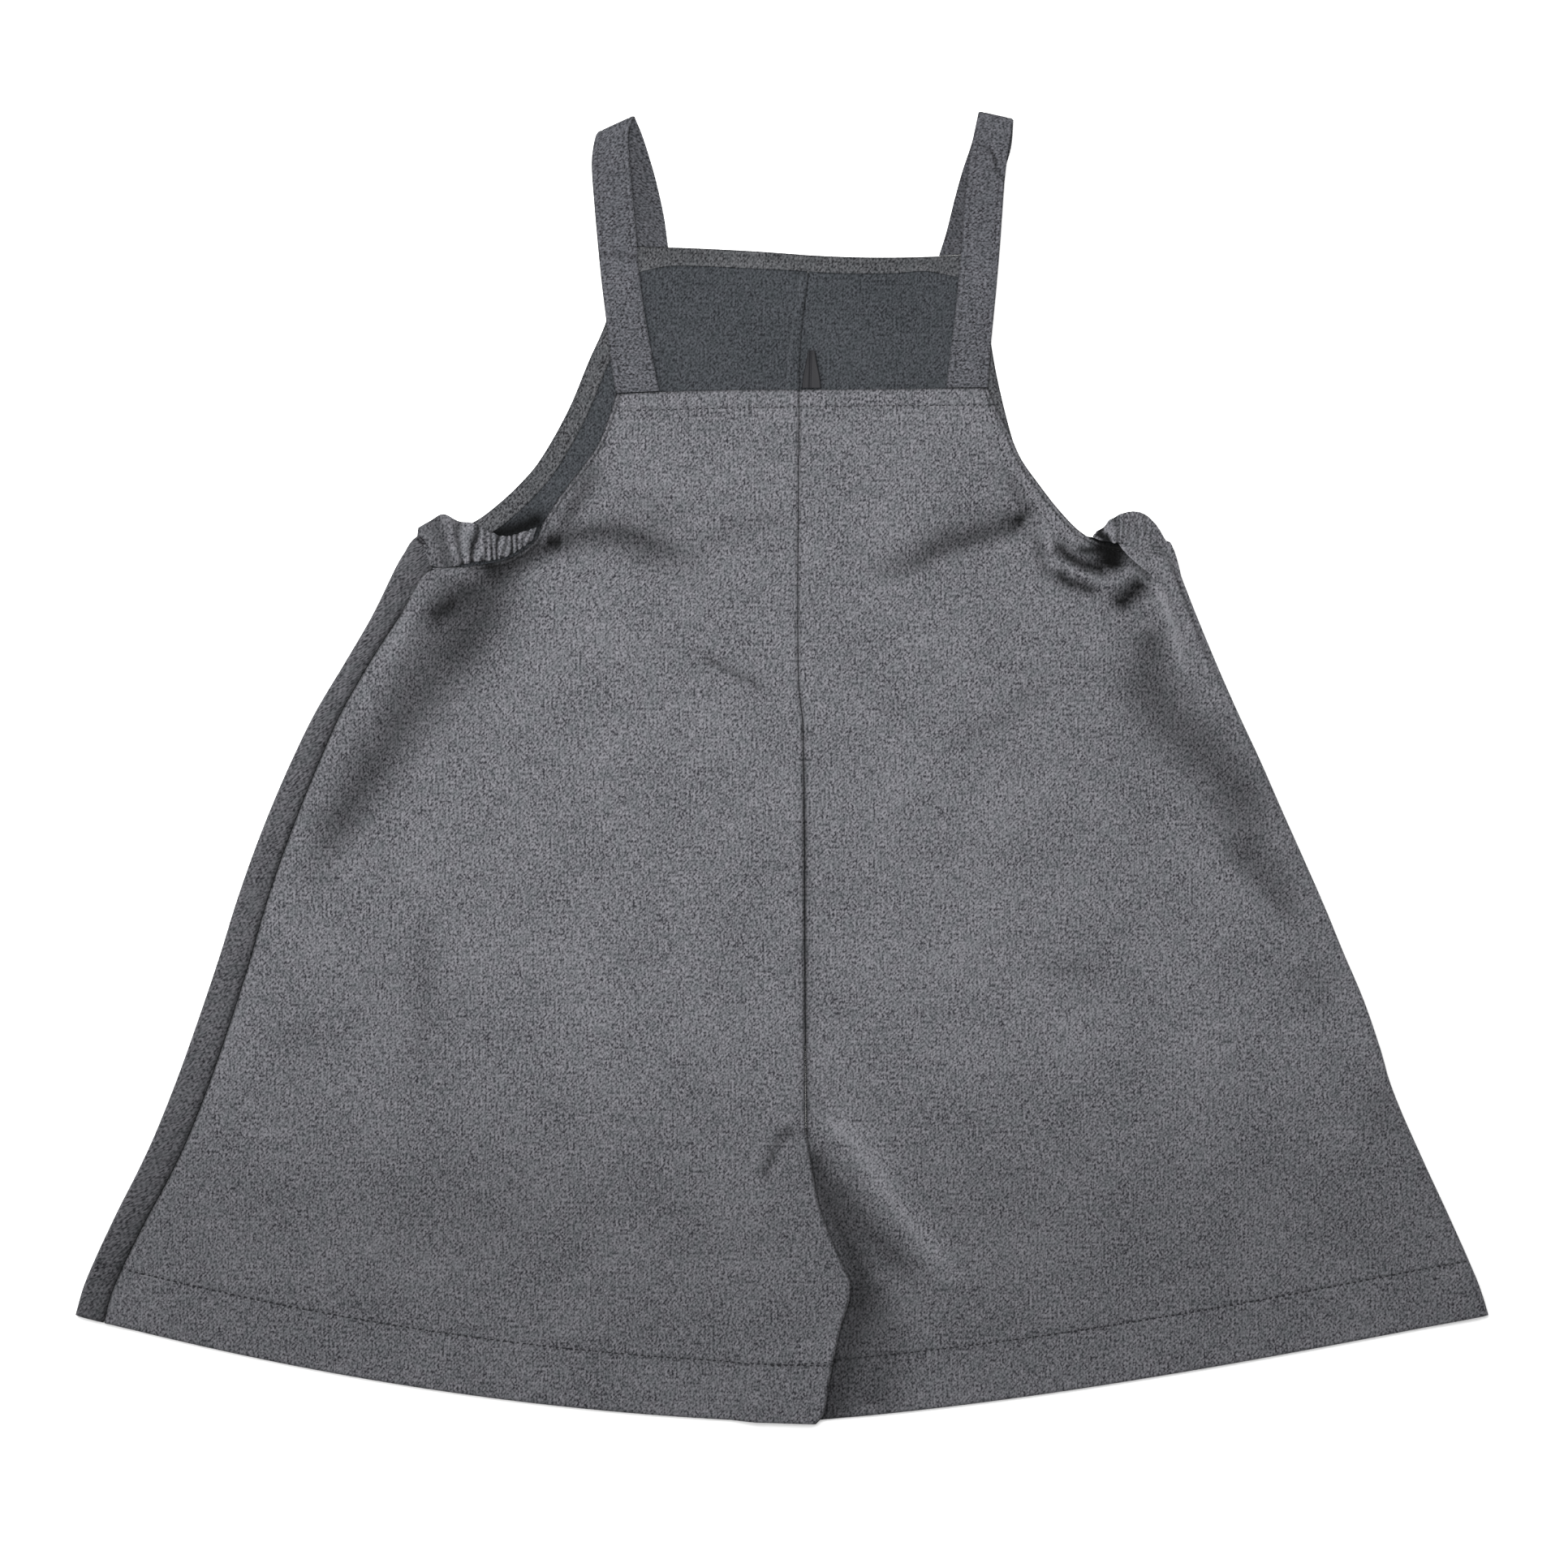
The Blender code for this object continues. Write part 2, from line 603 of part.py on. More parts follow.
def strap_sections(near, tip, far):
    """Cross lines of a strap with their heights, from the back over the fold to the front."""
    bend = STRAP_TOP / 2.0
    sections = [(station, STRAP_TOP) for station in near]
    for degrees in STRAP_FOLD_ANGLES:
        angle = math.radians(degrees)
        neighbour = near[-1] if degrees > 0.0 else far[0]
        back = bend * (1.0 - math.cos(angle))
        points = []
        for tip_x, tip_y, x, y in ((tip.left_x, tip.left_y, neighbour.left_x, neighbour.left_y),
                                   (tip.right_x, tip.right_y, neighbour.right_x, neighbour.right_y)):
            run = math.hypot(x - tip_x, y - tip_y)
            points += [mix(tip_x, x, back / run), mix(tip_y, y, back / run)]
        sections.append((Station(*points), bend + bend * math.sin(angle)))
    sections += [(station, 0.0) for station in far]
    return sections


def make_strap(collection, name, near, tip, far):
    """Make a shoulder strap, folded over at its top."""
    sections = strap_sections(near, tip, far)
    columns = 3

    def place(column, row):
        station, height = sections[row]
        share = column / columns
        return (mix(station.left_x, station.right_x, share),
                mix(station.left_y, station.right_y, share), height)

    return cloth_sheet(collection, name, columns, len(sections) - 1, place, STRAP_WALL,
                       SUITING, True)


def front_top_y(x):
    """Top edge of the front panels."""
    side = LEFT if x < centre_x(LEFT, False, FRONT_LEFT_TOP[0].inner_y) else RIGHT
    top = FRONT_LEFT_TOP[0] if side == LEFT else FRONT_RIGHT_TOP[0]
    inner = centre_x(side, False, top.inner_y)
    across = (x - top.edge_x) / (inner - top.edge_x)
    return mix(top.edge_y, top.inner_y, across) - top.bow * 4.0 * across * (1.0 - across)


def make_neck_facing(collection):
    """Make the facing along the top edge of the front, on its inner face."""
    columns = 20
    rows = 2
    start = NECK_FACING_LOWER[0].y
    end = NECK_FACING_LOWER[-1].y

    def place(column, row):
        x = mix(start, end, column / columns)
        lower = read(NECK_FACING_LOWER, "y", "x", x)
        return x, mix(front_top_y(x) - FACING_INSET, lower, row / rows), FACING_LEVEL

    return cloth_sheet(collection, "front_neck_facing", columns, rows, place, WALL,
                       SUITING, True)


def make_armhole_facing(collection, name, side, top, first_y):
    """Make the facing along a front armhole, made from the armhole's own points."""
    edge = [(row.edge_x, row.edge_y) for row in top[:FACING_ROWS]]
    (first_x, corner_y), (second_x, second_y) = edge[:2]
    edge[0] = (mix(first_x, second_x, (corner_y - first_y) / (corner_y - second_y)), first_y)
    columns = 2
    rows = len(edge) - 1

    def place(column, row):
        x, y = edge[row]
        ahead = edge[min(row + 1, rows)]
        behind = edge[max(row - 1, 0)]
        run_x = ahead[0] - behind[0]
        run_y = ahead[1] - behind[1]
        length = math.hypot(run_x, run_y)
        inward = SEAM_GAP + FACING_WIDTH * column / columns
        return (x + side * run_y / length * inward,
                y - side * run_x / length * inward, FACING_LEVEL)

    return cloth_sheet(collection, name, columns, rows, place, WALL, SUITING, True)


def make_seam_allowance(collection):
    """Make the centre front's seam allowance, pressed to the left on the inner face."""
    columns = 2
    rows = 12

    def place(column, row):
        y = mix(ALLOWANCE_TOP_Y, ALLOWANCE_END_Y, row / rows)
        width = mix(ALLOWANCE_WIDTH_TOP, ALLOWANCE_WIDTH, smooth(row / 3.0))
        x = centre_x(LEFT, False, y) - width * column / columns
        return x, y, FACING_LEVEL

    return cloth_sheet(collection, "front_seam_allowance", columns, rows, place, WALL,
                       SUITING_INSIDE, True)


def make_casing(collection, name, bands, gathers):
    """Make a gathered elastic casing: a short band with waves across it."""
    columns = gathers * GATHER_STEPS
    rows = 4
    spans = len(bands) - 1

    def place(column, row):
        station = column / columns * spans
        index = min(int(station), spans - 1)
        share = station - index
        band = Band(*(mix(first, second, share)
                      for first, second in zip(bands[index], bands[index + 1])))
        across = row / rows
        phase = column / columns * gathers
        uneven = 1.0 - GATHER_UNEVENNESS * (1.0 + math.sin(GATHER_DRIFT * phase))
        fade = smooth(column / GATHER_FADE) * smooth((columns - column) / GATHER_FADE)
        wave = GATHER_HEIGHT * uneven * fade * math.cos(2.0 * math.pi * phase)
        curl = CASING_CURL * (1.0 - smooth(across * 2.0))
        height = band.height - curl + wave * math.sin(math.pi * mix(0.2, 0.8, across))
        return (mix(band.upper_x, band.lower_x, across),
                mix(band.upper_y, band.lower_y, across), height)

    return cloth_sheet(collection, name, columns, rows, place, WALL, SUITING, True)


def make_hanger_loop(collection):
    """Make the ribbon loop that stands behind the back's top edge."""
    columns = 2
    rows = 6

    def place(column, row):
        share = row / rows
        width = mix(LOOP_BASE_WIDTH, LOOP_TOP_WIDTH, smooth(share))
        x = LOOP_X + width * (column / columns - 0.5)
        return x, mix(LOOP_BASE_Y, LOOP_TOP_Y, share), LOOP_LEVEL

    return cloth_sheet(collection, "hanger_loop", columns, rows, place, RIBBON_WALL,
                       RIBBON, True)


def main():
    """Clear the scene and make every piece."""
    for leftover in list(bpy.data.objects):
        bpy.data.objects.remove(leftover, do_unlink=True)
    collection = bpy.data.collections.new("shortalls")
    bpy.context.scene.collection.children.link(collection)
    make_panel(collection, "back_left", LEFT, True, BACK_LEFT_TOP, BACK_LEFT_COLUMNS)
    make_panel(collection, "back_right", RIGHT, True, BACK_RIGHT_TOP, BACK_RIGHT_COLUMNS)
    make_panel(collection, "front_left", LEFT, False, FRONT_LEFT_TOP, FRONT_LEFT_COLUMNS)
    make_panel(collection, "front_right", RIGHT, False, FRONT_RIGHT_TOP, FRONT_RIGHT_COLUMNS)
    make_strap(collection, "strap_left", LEFT_STRAP_NEAR, LEFT_STRAP_TIP, LEFT_STRAP_FAR)
    make_strap(collection, "strap_right", RIGHT_STRAP_NEAR, RIGHT_STRAP_TIP, RIGHT_STRAP_FAR)
    make_neck_facing(collection)
    make_armhole_facing(collection, "front_armhole_facing_left", LEFT, FRONT_LEFT_TOP,
                        LEFT_FACING_TOP_Y)
    make_armhole_facing(collection, "front_armhole_facing_right", RIGHT, FRONT_RIGHT_TOP,
                        RIGHT_FACING_TOP_Y)
    make_seam_allowance(collection)
    make_casing(collection, "underarm_casing_left", LEFT_CASING, LEFT_GATHERS)
    make_casing(collection, "underarm_casing_right", RIGHT_CASING, RIGHT_GATHERS)
    make_hanger_loop(collection)


main()
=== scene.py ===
"""Looks of a child's A-line shortalls, laid flat with the back panel up.

The garment lies on a pale floor with its straps towards +Y, seen from straight above. Every
panel is a thin shell of suiting on the form of its solid, with its folds, seams, gathers and
stitching. Painted shade and painted highlights in the cloth's colour darken and lighten its
folds, seams, edges, hems and gathers. Sizes are in millimetres until a mesh is made.
"""

import logging
import math
from dataclasses import dataclass
from enum import Enum
from typing import NamedTuple, Sequence

import bpy
import numpy as np
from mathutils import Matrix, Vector
from mathutils.bvhtree import BVHTree


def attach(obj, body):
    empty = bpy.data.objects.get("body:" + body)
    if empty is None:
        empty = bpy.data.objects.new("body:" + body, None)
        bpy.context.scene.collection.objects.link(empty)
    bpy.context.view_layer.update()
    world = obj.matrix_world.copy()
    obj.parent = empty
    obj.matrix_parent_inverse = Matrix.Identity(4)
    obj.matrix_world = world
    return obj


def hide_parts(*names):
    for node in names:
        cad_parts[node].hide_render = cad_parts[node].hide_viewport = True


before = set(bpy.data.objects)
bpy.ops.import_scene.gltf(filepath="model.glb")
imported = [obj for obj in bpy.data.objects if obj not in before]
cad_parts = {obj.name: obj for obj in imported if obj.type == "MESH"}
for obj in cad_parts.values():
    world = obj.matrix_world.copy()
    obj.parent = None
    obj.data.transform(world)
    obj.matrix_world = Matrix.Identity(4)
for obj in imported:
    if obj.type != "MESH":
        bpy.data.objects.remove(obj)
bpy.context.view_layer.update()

log = logging.getLogger("shortalls")

MM = 0.001
BODY = "root"

Array = np.ndarray
Points = Sequence[tuple[float, float]]
Colour = tuple[float, float, float, float]


class Side(Enum):
    """The side of the centre seam that a piece lies on, as the viewer sees it."""

    LEFT = -1
    RIGHT = 1


class Face(Enum):
    """Whether a panel lies on top or underneath."""

    NEAR = 1
    FAR = -1


class Edge(NamedTuple):
    """Outline, or distance from it, on both sides at a height of the garment."""

    y: float
    left: float
    right: float


class Seam(NamedTuple):
    """A point of a seam or edge."""

    y: float
    x: float


class Armhole(NamedTuple):
    """A row of a panel above the underarm, from the centre seam to the armhole's edge."""

    inner_y: float
    edge_x: float
    edge_y: float
    reach: float
    curl: float
    bow: float
    weight: float = 0.0


class Station(NamedTuple):
    """A cross line of a strap."""

    left_x: float
    left_y: float
    right_x: float
    right_y: float


class Band(NamedTuple):
    """A cross line of an elastic casing."""

    upper_x: float
    upper_y: float
    lower_x: float
    lower_y: float
    height: float


class Columns(NamedTuple):
    """Columns of a panel near its centre, across its middle, and round the side fold."""

    inner: int
    middle: int
    fold: int


# Cloth and gaps
WALL = 1.0
HEM_WALL = 1.6
STRAP_WALL = 1.4
MOST_SUNK = 0.7
SEAM_GAP = 0.3
LAYER_GAP = 0.3

# Main sizes of the laid-out garment
HEM_DEPTH = 26.0
HEM_EASE = 8.0
CROTCH_Y = -160.0
CROTCH_EASE = 20.0
CROTCH_LEAD = 4.0
HEM_CORNER_Y = -243.0
INSEAM_END_Y = -291.0
BODY_TOP_INNER_Y = 76.0
ALLOWANCE_END_Y = -122.0

# Heights of the upper, near surface
BIB_LEVEL = 4.2
BODY_LEVEL = 3.9
BIB_END_Y = 60.0
BODY_START_Y = 0.0
SIDE_LEVEL = 5.4
SIDE_ROLL_FLAT = 6.0
SIDE_ROLL_FADE = 30.0
FOLD_START = 2.0
HEM_SETTLE = 40.0
STRIP_X = 5.0
STRIP_REACH = 18.0
STRIP_FADE = 8.0
UNDERARM_Y = 98.0
SOFT_STOP = 0.3
HEM_RELIEF = 0.45
# Painted shade: the legs' colour gets darker below LEG_SHADE_Y, standing in for the fall of the
# key light
LEG_SHADE = 0.19
LEG_SHADE_Y = -110.0
LEG_SHADE_REACH = 90.0
FOLD_DEPTH = 4.0
FOLD_QUARTER = 5.3
FOLD_END = 0.35

# How the left leg climbs over the right one
LEG_RAMP = 13.0
LEG_LEAD = 10.0
LEG_PRESS_FADE = 14.0
LEG_CLEARANCE = 0.5
LEG_BAND_LEAD = 3.0

# Steps of the panels' rows and columns in the solids, which the shells divide further
UPPER_BODY_STEPS = 10
LEG_STEPS = 6
INNER_STEP = 9.5
ARC_COLUMNS = 4
ARC_SHARE = 0.75

OUTLINE = (
    Edge(-243.0, -313.4, 313.4),
    Edge(-228.6, -309.1, 308.7),
    Edge(-199.8, -296.1, 296.1),
    Edge(-171.0, -281.7, 282.8),
    Edge(-142.2, -269.8, 270.5),
    Edge(-113.4, -259.4, 261.9),
    Edge(-84.6, -249.7, 250.0),
    Edge(-55.8, -240.7, 238.1),
    Edge(-27.0, -230.2, 225.2),
    Edge(1.8, -218.0, 212.6),
    Edge(30.6, -203.6, 199.3),
    Edge(59.4, -185.8, 187.0),
    Edge(88.2, -171.5, 175.5),
    Edge(104.4, -161.5, 167.9),
)

SEAM_FROM_OUTLINE = (
    Edge(-243.0, 14.2, -16.0),
    Edge(-225.0, 13.8, -15.5),
    Edge(-171.0, 15.1, -14.5),
    Edge(-113.4, 15.0, -13.0),
    Edge(-55.8, 14.2, -11.5),
    Edge(1.8, 13.3, -10.0),
    Edge(30.6, 12.3, -9.0),
    Edge(61.0, 12.2, -8.0),
    Edge(75.0, 15.0, -7.5),
    Edge(90.0, 17.6, -7.0),
)

CENTRE_BACK = (
    Seam(-160.0, 10.6),
    Seam(-110.0, 10.3),
    Seam(16.0, 9.4),
    Seam(41.0, 7.2),
    Seam(167.0, 7.6),
)

CENTRE_FRONT = (
    Seam(-160.0, 10.6),
    Seam(60.0, 8.2),
    Seam(170.0, 7.2),
    Seam(192.0, 8.0),
    Seam(227.5, 12.6),
)

LEFT_INSEAM = (
    Seam(-291.0, 15.0),
    Seam(-286.6, 18.5),
    Seam(-271.8, 21.1),
    Seam(-248.8, 26.1),
    Seam(-237.2, 29.7),
    Seam(-228.6, 30.4),
    Seam(-221.0, 27.2),
    Seam(-207.0, 21.1),
    Seam(-192.0, 16.0),
    Seam(-160.0, 10.6),
)

RIGHT_INSEAM = (
    Seam(-291.0, -1.3),
    Seam(-260.0, -5.6),
    Seam(-228.6, -10.3),
    Seam(-192.0, 2.3),
    Seam(-170.0, 8.8),
    Seam(-160.0, 10.9),
)

BACK_LEFT_TOP = (
    Armhole(167.2, -73.6, 165.2, 0.0, 0.0, -0.6),
    Armhole(157.0, -76.9, 154.8, 0.0, 0.0, 0.0),
    Armhole(144.5, -82.3, 141.8, 0.0, 0.0, 0.0),
    Armhole(132.0, -91.6, 129.0, 0.0, 0.0, 0.0),
    Armhole(121.5, -99.2, 119.0, 0.0, 0.0, 0.0),
    Armhole(111.0, -105.7, 108.4, 0.0, 0.0, 0.0),
    Armhole(102.0, -110.3, 99.4, 0.0, 0.0, 0.0),
    Armhole(94.0, -121.9, 92.2, 0.0, 0.0, 0.0),
    Armhole(87.5, -134.5, 89.6, 0.0, 0.0, 0.0),
    Armhole(82.0, -145.3, 88.4, 0.0, 0.0, 0.0),
)

BACK_RIGHT_TOP = (
    Armhole(167.2, 91.3, 167.9, 0.0, 0.0, 0.0),
    Armhole(158.0, 95.0, 159.0, 0.0, 0.0, 0.0),
    Armhole(147.5, 101.0, 147.5, 0.0, 0.0, 0.0),
    Armhole(137.5, 106.0, 136.5, 0.0, 0.0, 0.0),
    Armhole(127.5, 113.5, 125.8, 0.0, 0.0, 0.0),
    Armhole(117.5, 122.5, 114.2, 0.0, 0.0, 0.0),
    Armhole(108.5, 131.9, 104.5, 0.0, 0.0, 0.0),
    Armhole(101.0, 141.0, 99.5, 0.0, 0.0, 0.0),
    Armhole(94.5, 150.5, 97.6, 0.0, 0.0, 0.0),
    Armhole(89.5, 161.0, 96.8, 0.0, 0.1, 0.0),
    Armhole(85.0, 170.4, 95.4, 0.0, 0.5, 0.0),
    Armhole(80.5, 173.6, 91.8, 2.4, 1.0, 0.0),
)

FRONT_LEFT_TOP = (
    Armhole(227.2, -68.6, 231.1, 0.0, 0.0, -0.7),
    Armhole(210.0, -74.3, 212.4, 0.0, 0.0, -0.3),
    Armhole(193.0, -78.7, 196.2, 0.0, 0.0, 0.0),
    Armhole(177.0, -85.9, 180.0, 0.0, 0.0, 0.0),
    Armhole(156.0, -94.9, 158.4, 0.0, 0.0, 0.0),
    Armhole(136.0, -107.1, 136.8, 0.0, 0.0, 0.0),
    Armhole(124.0, -117.0, 125.0, 0.0, 0.0, 0.0),
    Armhole(112.0, -128.0, 115.0, 0.0, 0.0, 0.0),
    Armhole(103.0, -137.2, 108.6, 0.0, 0.0, 0.0),
    Armhole(96.0, -147.1, 105.4, 0.0, 0.0, 0.0),
    Armhole(90.5, -155.6, 104.8, 0.0, 0.4, 0.0),
    Armhole(86.0, -161.6, 102.4, 3.0, 1.0, 0.0),
    Armhole(82.0, -164.8, 99.6, 9.5, 1.0, 0.0),
    Armhole(79.0, -167.2, 95.6, 14.0, 1.0, 0.0),
)

FRONT_RIGHT_TOP = (
    Armhole(227.2, 88.0, 227.9, 0.0, 0.0, 1.3),
    Armhole(208.0, 90.2, 207.0, 0.0, 0.0, 0.5),
    Armhole(188.0, 93.1, 186.5, 0.0, 0.0, 0.0),
    Armhole(170.0, 96.3, 169.2, 0.0, 0.0, 0.0),
    Armhole(149.0, 101.7, 147.6, 0.0, 0.0, 0.0),
    Armhole(138.0, 105.9, 136.4, 0.0, 0.0, 0.0),
    Armhole(127.5, 113.3, 125.7, 0.0, 0.0, 0.0),
    Armhole(117.0, 122.0, 114.4, 0.0, 0.0, 0.0),
    Armhole(108.0, 131.6, 104.0, 0.0, 0.0, 0.0),
    Armhole(100.0, 141.5, 101.6, 0.0, 0.0, 0.0),
    Armhole(93.0, 156.5, 100.5, 0.0, 0.0, 0.0),
    Armhole(86.0, 165.0, 95.4, 0.0, 0.0, 0.0),
)

# Edge points of the front facings
NECK_FACING_LOWER = (
    Seam(-66.0, 218.6),
    Seam(-61.0, 220.2),
    Seam(-48.4, 222.4),
    Seam(-16.4, 221.4),
    Seam(5.9, 220.3),
    Seam(23.9, 219.2),
    Seam(47.7, 219.0),
    Seam(63.9, 220.0),
    Seam(76.9, 217.6),
    Seam(85.0, 216.0),
)
FACING_WIDTH = 8.2
FACING_INSET = 0.2
FACING_ROWS = 9
LEFT_FACING_TOP_Y = 216.5
RIGHT_FACING_TOP_Y = 213.0
FACING_LEVEL = WALL + LAYER_GAP + WALL
ALLOWANCE_WIDTH_TOP = 3.4
ALLOWANCE_WIDTH = 6.4
ALLOWANCE_TOP_Y = 219.0

# Straps, from the back, over the fold at the top, to the front
LEFT_STRAP_NEAR = (
    Station(-73.6, 165.8, -54.3, 166.6),
    Station(-75.1, 174.2, -56.0, 174.2),
    Station(-77.6, 195.1, -59.9, 195.1),
    Station(-80.1, 215.6, -63.2, 217.0),
    Station(-81.9, 234.0, -64.6, 235.8),
    Station(-83.3, 250.2, -66.1, 252.0),
    Station(-84.4, 266.4, -67.5, 268.0),
    Station(-83.7, 275.0, -68.2, 280.5),
)
LEFT_STRAP_TIP = Station(-82.3, 281.5, -65.7, 289.1)
LEFT_STRAP_FAR = (
    Station(-79.4, 275.0, -62.1, 280.5),
    Station(-75.4, 264.6, -57.4, 265.6),
    Station(-72.5, 254.2, -54.5, 254.2),
    Station(-70.4, 244.1, -52.4, 244.1),
    Station(-68.6, 231.3, -50.6, 230.9),
)
RIGHT_STRAP_NEAR = (
    Station(72.9, 168.1, 91.3, 168.3),
    Station(74.0, 178.9, 92.0, 178.9),
    Station(75.8, 192.6, 93.1, 192.0),
    Station(77.6, 208.4, 94.5, 206.3),
    Station(78.7, 220.7, 95.6, 218.5),
    Station(79.9, 233.0, 96.7, 231.5),
    Station(80.6, 246.6, 97.7, 246.0),
    Station(82.3, 261.0, 98.8, 260.5),
    Station(84.1, 275.4, 100.3, 273.3),
)
RIGHT_STRAP_TIP = Station(87.3, 291.0, 102.8, 287.6)
RIGHT_STRAP_FAR = (
    Station(84.4, 277.6, 101.7, 275.0),
    Station(80.1, 264.6, 98.1, 262.9),
    Station(76.5, 251.6, 94.5, 250.3),
    Station(72.9, 237.2, 90.9, 236.5),
    Station(69.7, 227.0, 87.8, 228.1),
)
STRAP_TOP = 4.2
STRAP_FOLD_ANGLES = (60.0, 30.0, 0.0, -30.0, -60.0)

# Gathered elastic casings under the arms
LEFT_CASING = (
    Band(-108.9, 106.2, -110.3, 100.8, 4.4),
    Band(-115.4, 104.0, -116.5, 96.3, 4.7),
    Band(-122.2, 102.2, -122.9, 93.0, 4.9),
    Band(-129.1, 104.0, -129.8, 91.4, 5.0),
    Band(-136.3, 107.6, -136.6, 90.8, 5.0),
    Band(-143.5, 109.1, -143.1, 89.4, 5.0),
    Band(-150.3, 112.0, -150.0, 88.2, 4.9),
    Band(-155.9, 109.2, -156.0, 89.5, 4.6),
    Band(-161.4, 106.0, -162.5, 92.5, 4.3),
)
RIGHT_CASING = (
    Band(138.4, 103.4, 137.7, 102.0, 4.6),
    Band(142.0, 106.0, 141.6, 100.3, 4.9),
    Band(145.6, 109.6, 145.8, 99.5, 5.1),
    Band(150.7, 112.3, 150.7, 98.7, 5.2),
    Band(155.7, 113.2, 155.7, 98.2, 5.2),
    Band(160.7, 112.0, 160.7, 97.8, 5.2),
    Band(165.8, 107.3, 165.8, 97.4, 5.1),
    Band(170.0, 100.6, 169.2, 97.3, 4.9),
)
CASING_CURL = 0.5

# Ribbon loop behind the top edge
LOOP_X = 13.1
LOOP_BASE_Y = 168.0
LOOP_TOP_Y = 184.7
LOOP_BASE_WIDTH = 8.4
LOOP_TOP_WIDTH = 3.2
LOOP_LEVEL = 3.5


def ease(value: Array | float) -> Array:
    """Ease from 0 to 1 as the value goes from 0 to 1."""
    value = np.clip(value, 0.0, 1.0)
    return value * value * (3.0 - 2.0 * value)


def mix(first: Array | float, second: Array | float, share: Array | float) -> Array | float:
    """Straight blend of two values."""
    return first + (second - first) * share


def bell(value: Array | float) -> Array:
    """Soft hump of height 1 round zero."""
    return np.exp(-np.square(value))


class Mark(NamedTuple):
    """A soft line beside an edge: how far in it lies, how wide and how strong it is."""

    inset: float
    width: float
    strength: float

    def shape(self, gap: Array) -> Array:
        """The line at some distances from the edge, at a strength of 1."""
        return bell((gap - self.inset) / self.width)

    def at(self, gap: Array) -> Array:
        """The line at some distances from the edge."""
        return self.strength * self.shape(gap)


class Curve:
    """A smooth line through the rows of a table, straight past its ends."""

    def __init__(self, keys: Sequence[float], values: Sequence[float],
                 steady: bool = False) -> None:
        """Take the table.

        Args:
            keys: Places along the line, rising.
            values: Value at each place.
            steady: Whether the line never swings past the values on both sides of it.
        """
        self.keys = np.asarray(keys, float)
        self.values = np.asarray(values, float)
        low = np.maximum(np.arange(len(keys)) - 1, 0)
        high = np.minimum(np.arange(len(keys)) + 1, len(keys) - 1)
        self.slopes = ((self.values[high] - self.values[low])
                       / (self.keys[high] - self.keys[low]))
        if steady:
            rises = np.diff(self.values) / np.diff(self.keys)
            before = np.concatenate([rises[:1], rises])
            after = np.concatenate([rises, rises[-1:]])
            most = 3.0 * np.minimum(np.abs(before), np.abs(after)) * (before * after > 0.0)
            self.slopes = np.clip(self.slopes, -most, most)

    def at(self, place: Array | float) -> Array:
        """Read the line.

        Args:
            place: One place or several.

        Returns:
            The value at each place.
        """
        place = np.asarray(place, float)
        index = np.clip(np.searchsorted(self.keys, place, side="right") - 1,
                        0, len(self.keys) - 2)
        span = self.keys[index + 1] - self.keys[index]
        t = (place - self.keys[index]) / span
        rise = self.values[index + 1] - self.values[index]
        start = self.slopes[index] * span
        end = self.slopes[index + 1] * span
        inside = self.values[index] + t * (start + t * (
            3.0 * rise - 2.0 * start - end + t * (start + end - 2.0 * rise)))
        before = self.values[0] + self.slopes[0] * (place - self.keys[0])
        after = self.values[-1] + self.slopes[-1] * (place - self.keys[-1])
        return np.where(place <= self.keys[0], before,
                        np.where(place >= self.keys[-1], after, inside))


def curve_of(table: Sequence[NamedTuple], key: str, column: str) -> Curve:
    """Smooth line through one column of a table."""
    return Curve([getattr(row, key) for row in table], [getattr(row, column) for row in table])


def smooth_path(points: Points, steps: int = 8) -> Array:
    """Draw a smooth path through a few points.

    Args:
        points: The points, in order.
        steps: Pieces between neighbours.

    Returns:
        An array of points, two columns wide.
    """
    given = np.asarray(points, float)
    keys = np.arange(len(given))
    fine = np.linspace(0.0, len(given) - 1, (len(given) - 1) * steps + 1)
    return np.stack([Curve(keys, given[:, axis]).at(fine) for axis in (0, 1)], axis=1)


class Follow(NamedTuple):
    """How points lie beside a path."""

    gap: Array
    along: Array
    length: float
    hand: Array


def follow(path: Array, x: Array, y: Array) -> Follow:
    """Find how far points are from a path.

    Args:
        path: Points of the path.
        x: First coordinate of each point.
        y: Second coordinate of each point.

    Returns:
        Distance from the path, distance along it, its length, and the side of it.
    """
    gap = np.full(np.shape(x), np.inf)
    along = np.zeros(np.shape(x))
    hand = np.ones(np.shape(x))
    walked = 0.0
    for (x1, y1), (x2, y2) in zip(path[:-1], path[1:]):
        run_x, run_y = x2 - x1, y2 - y1
        length = math.hypot(run_x, run_y)
        share = np.clip(((x - x1) * run_x + (y - y1) * run_y) / length ** 2, 0.0, 1.0)
        off_x, off_y = x - x1 - run_x * share, y - y1 - run_y * share
        here = np.hypot(off_x, off_y)
        closer = here < gap
        gap = np.where(closer, here, gap)
        along = np.where(closer, walked + share * length, along)
        hand = np.where(closer, np.sign(run_x * off_y - run_y * off_x), hand)
        walked += length
    return Follow(gap, along, walked, hand)


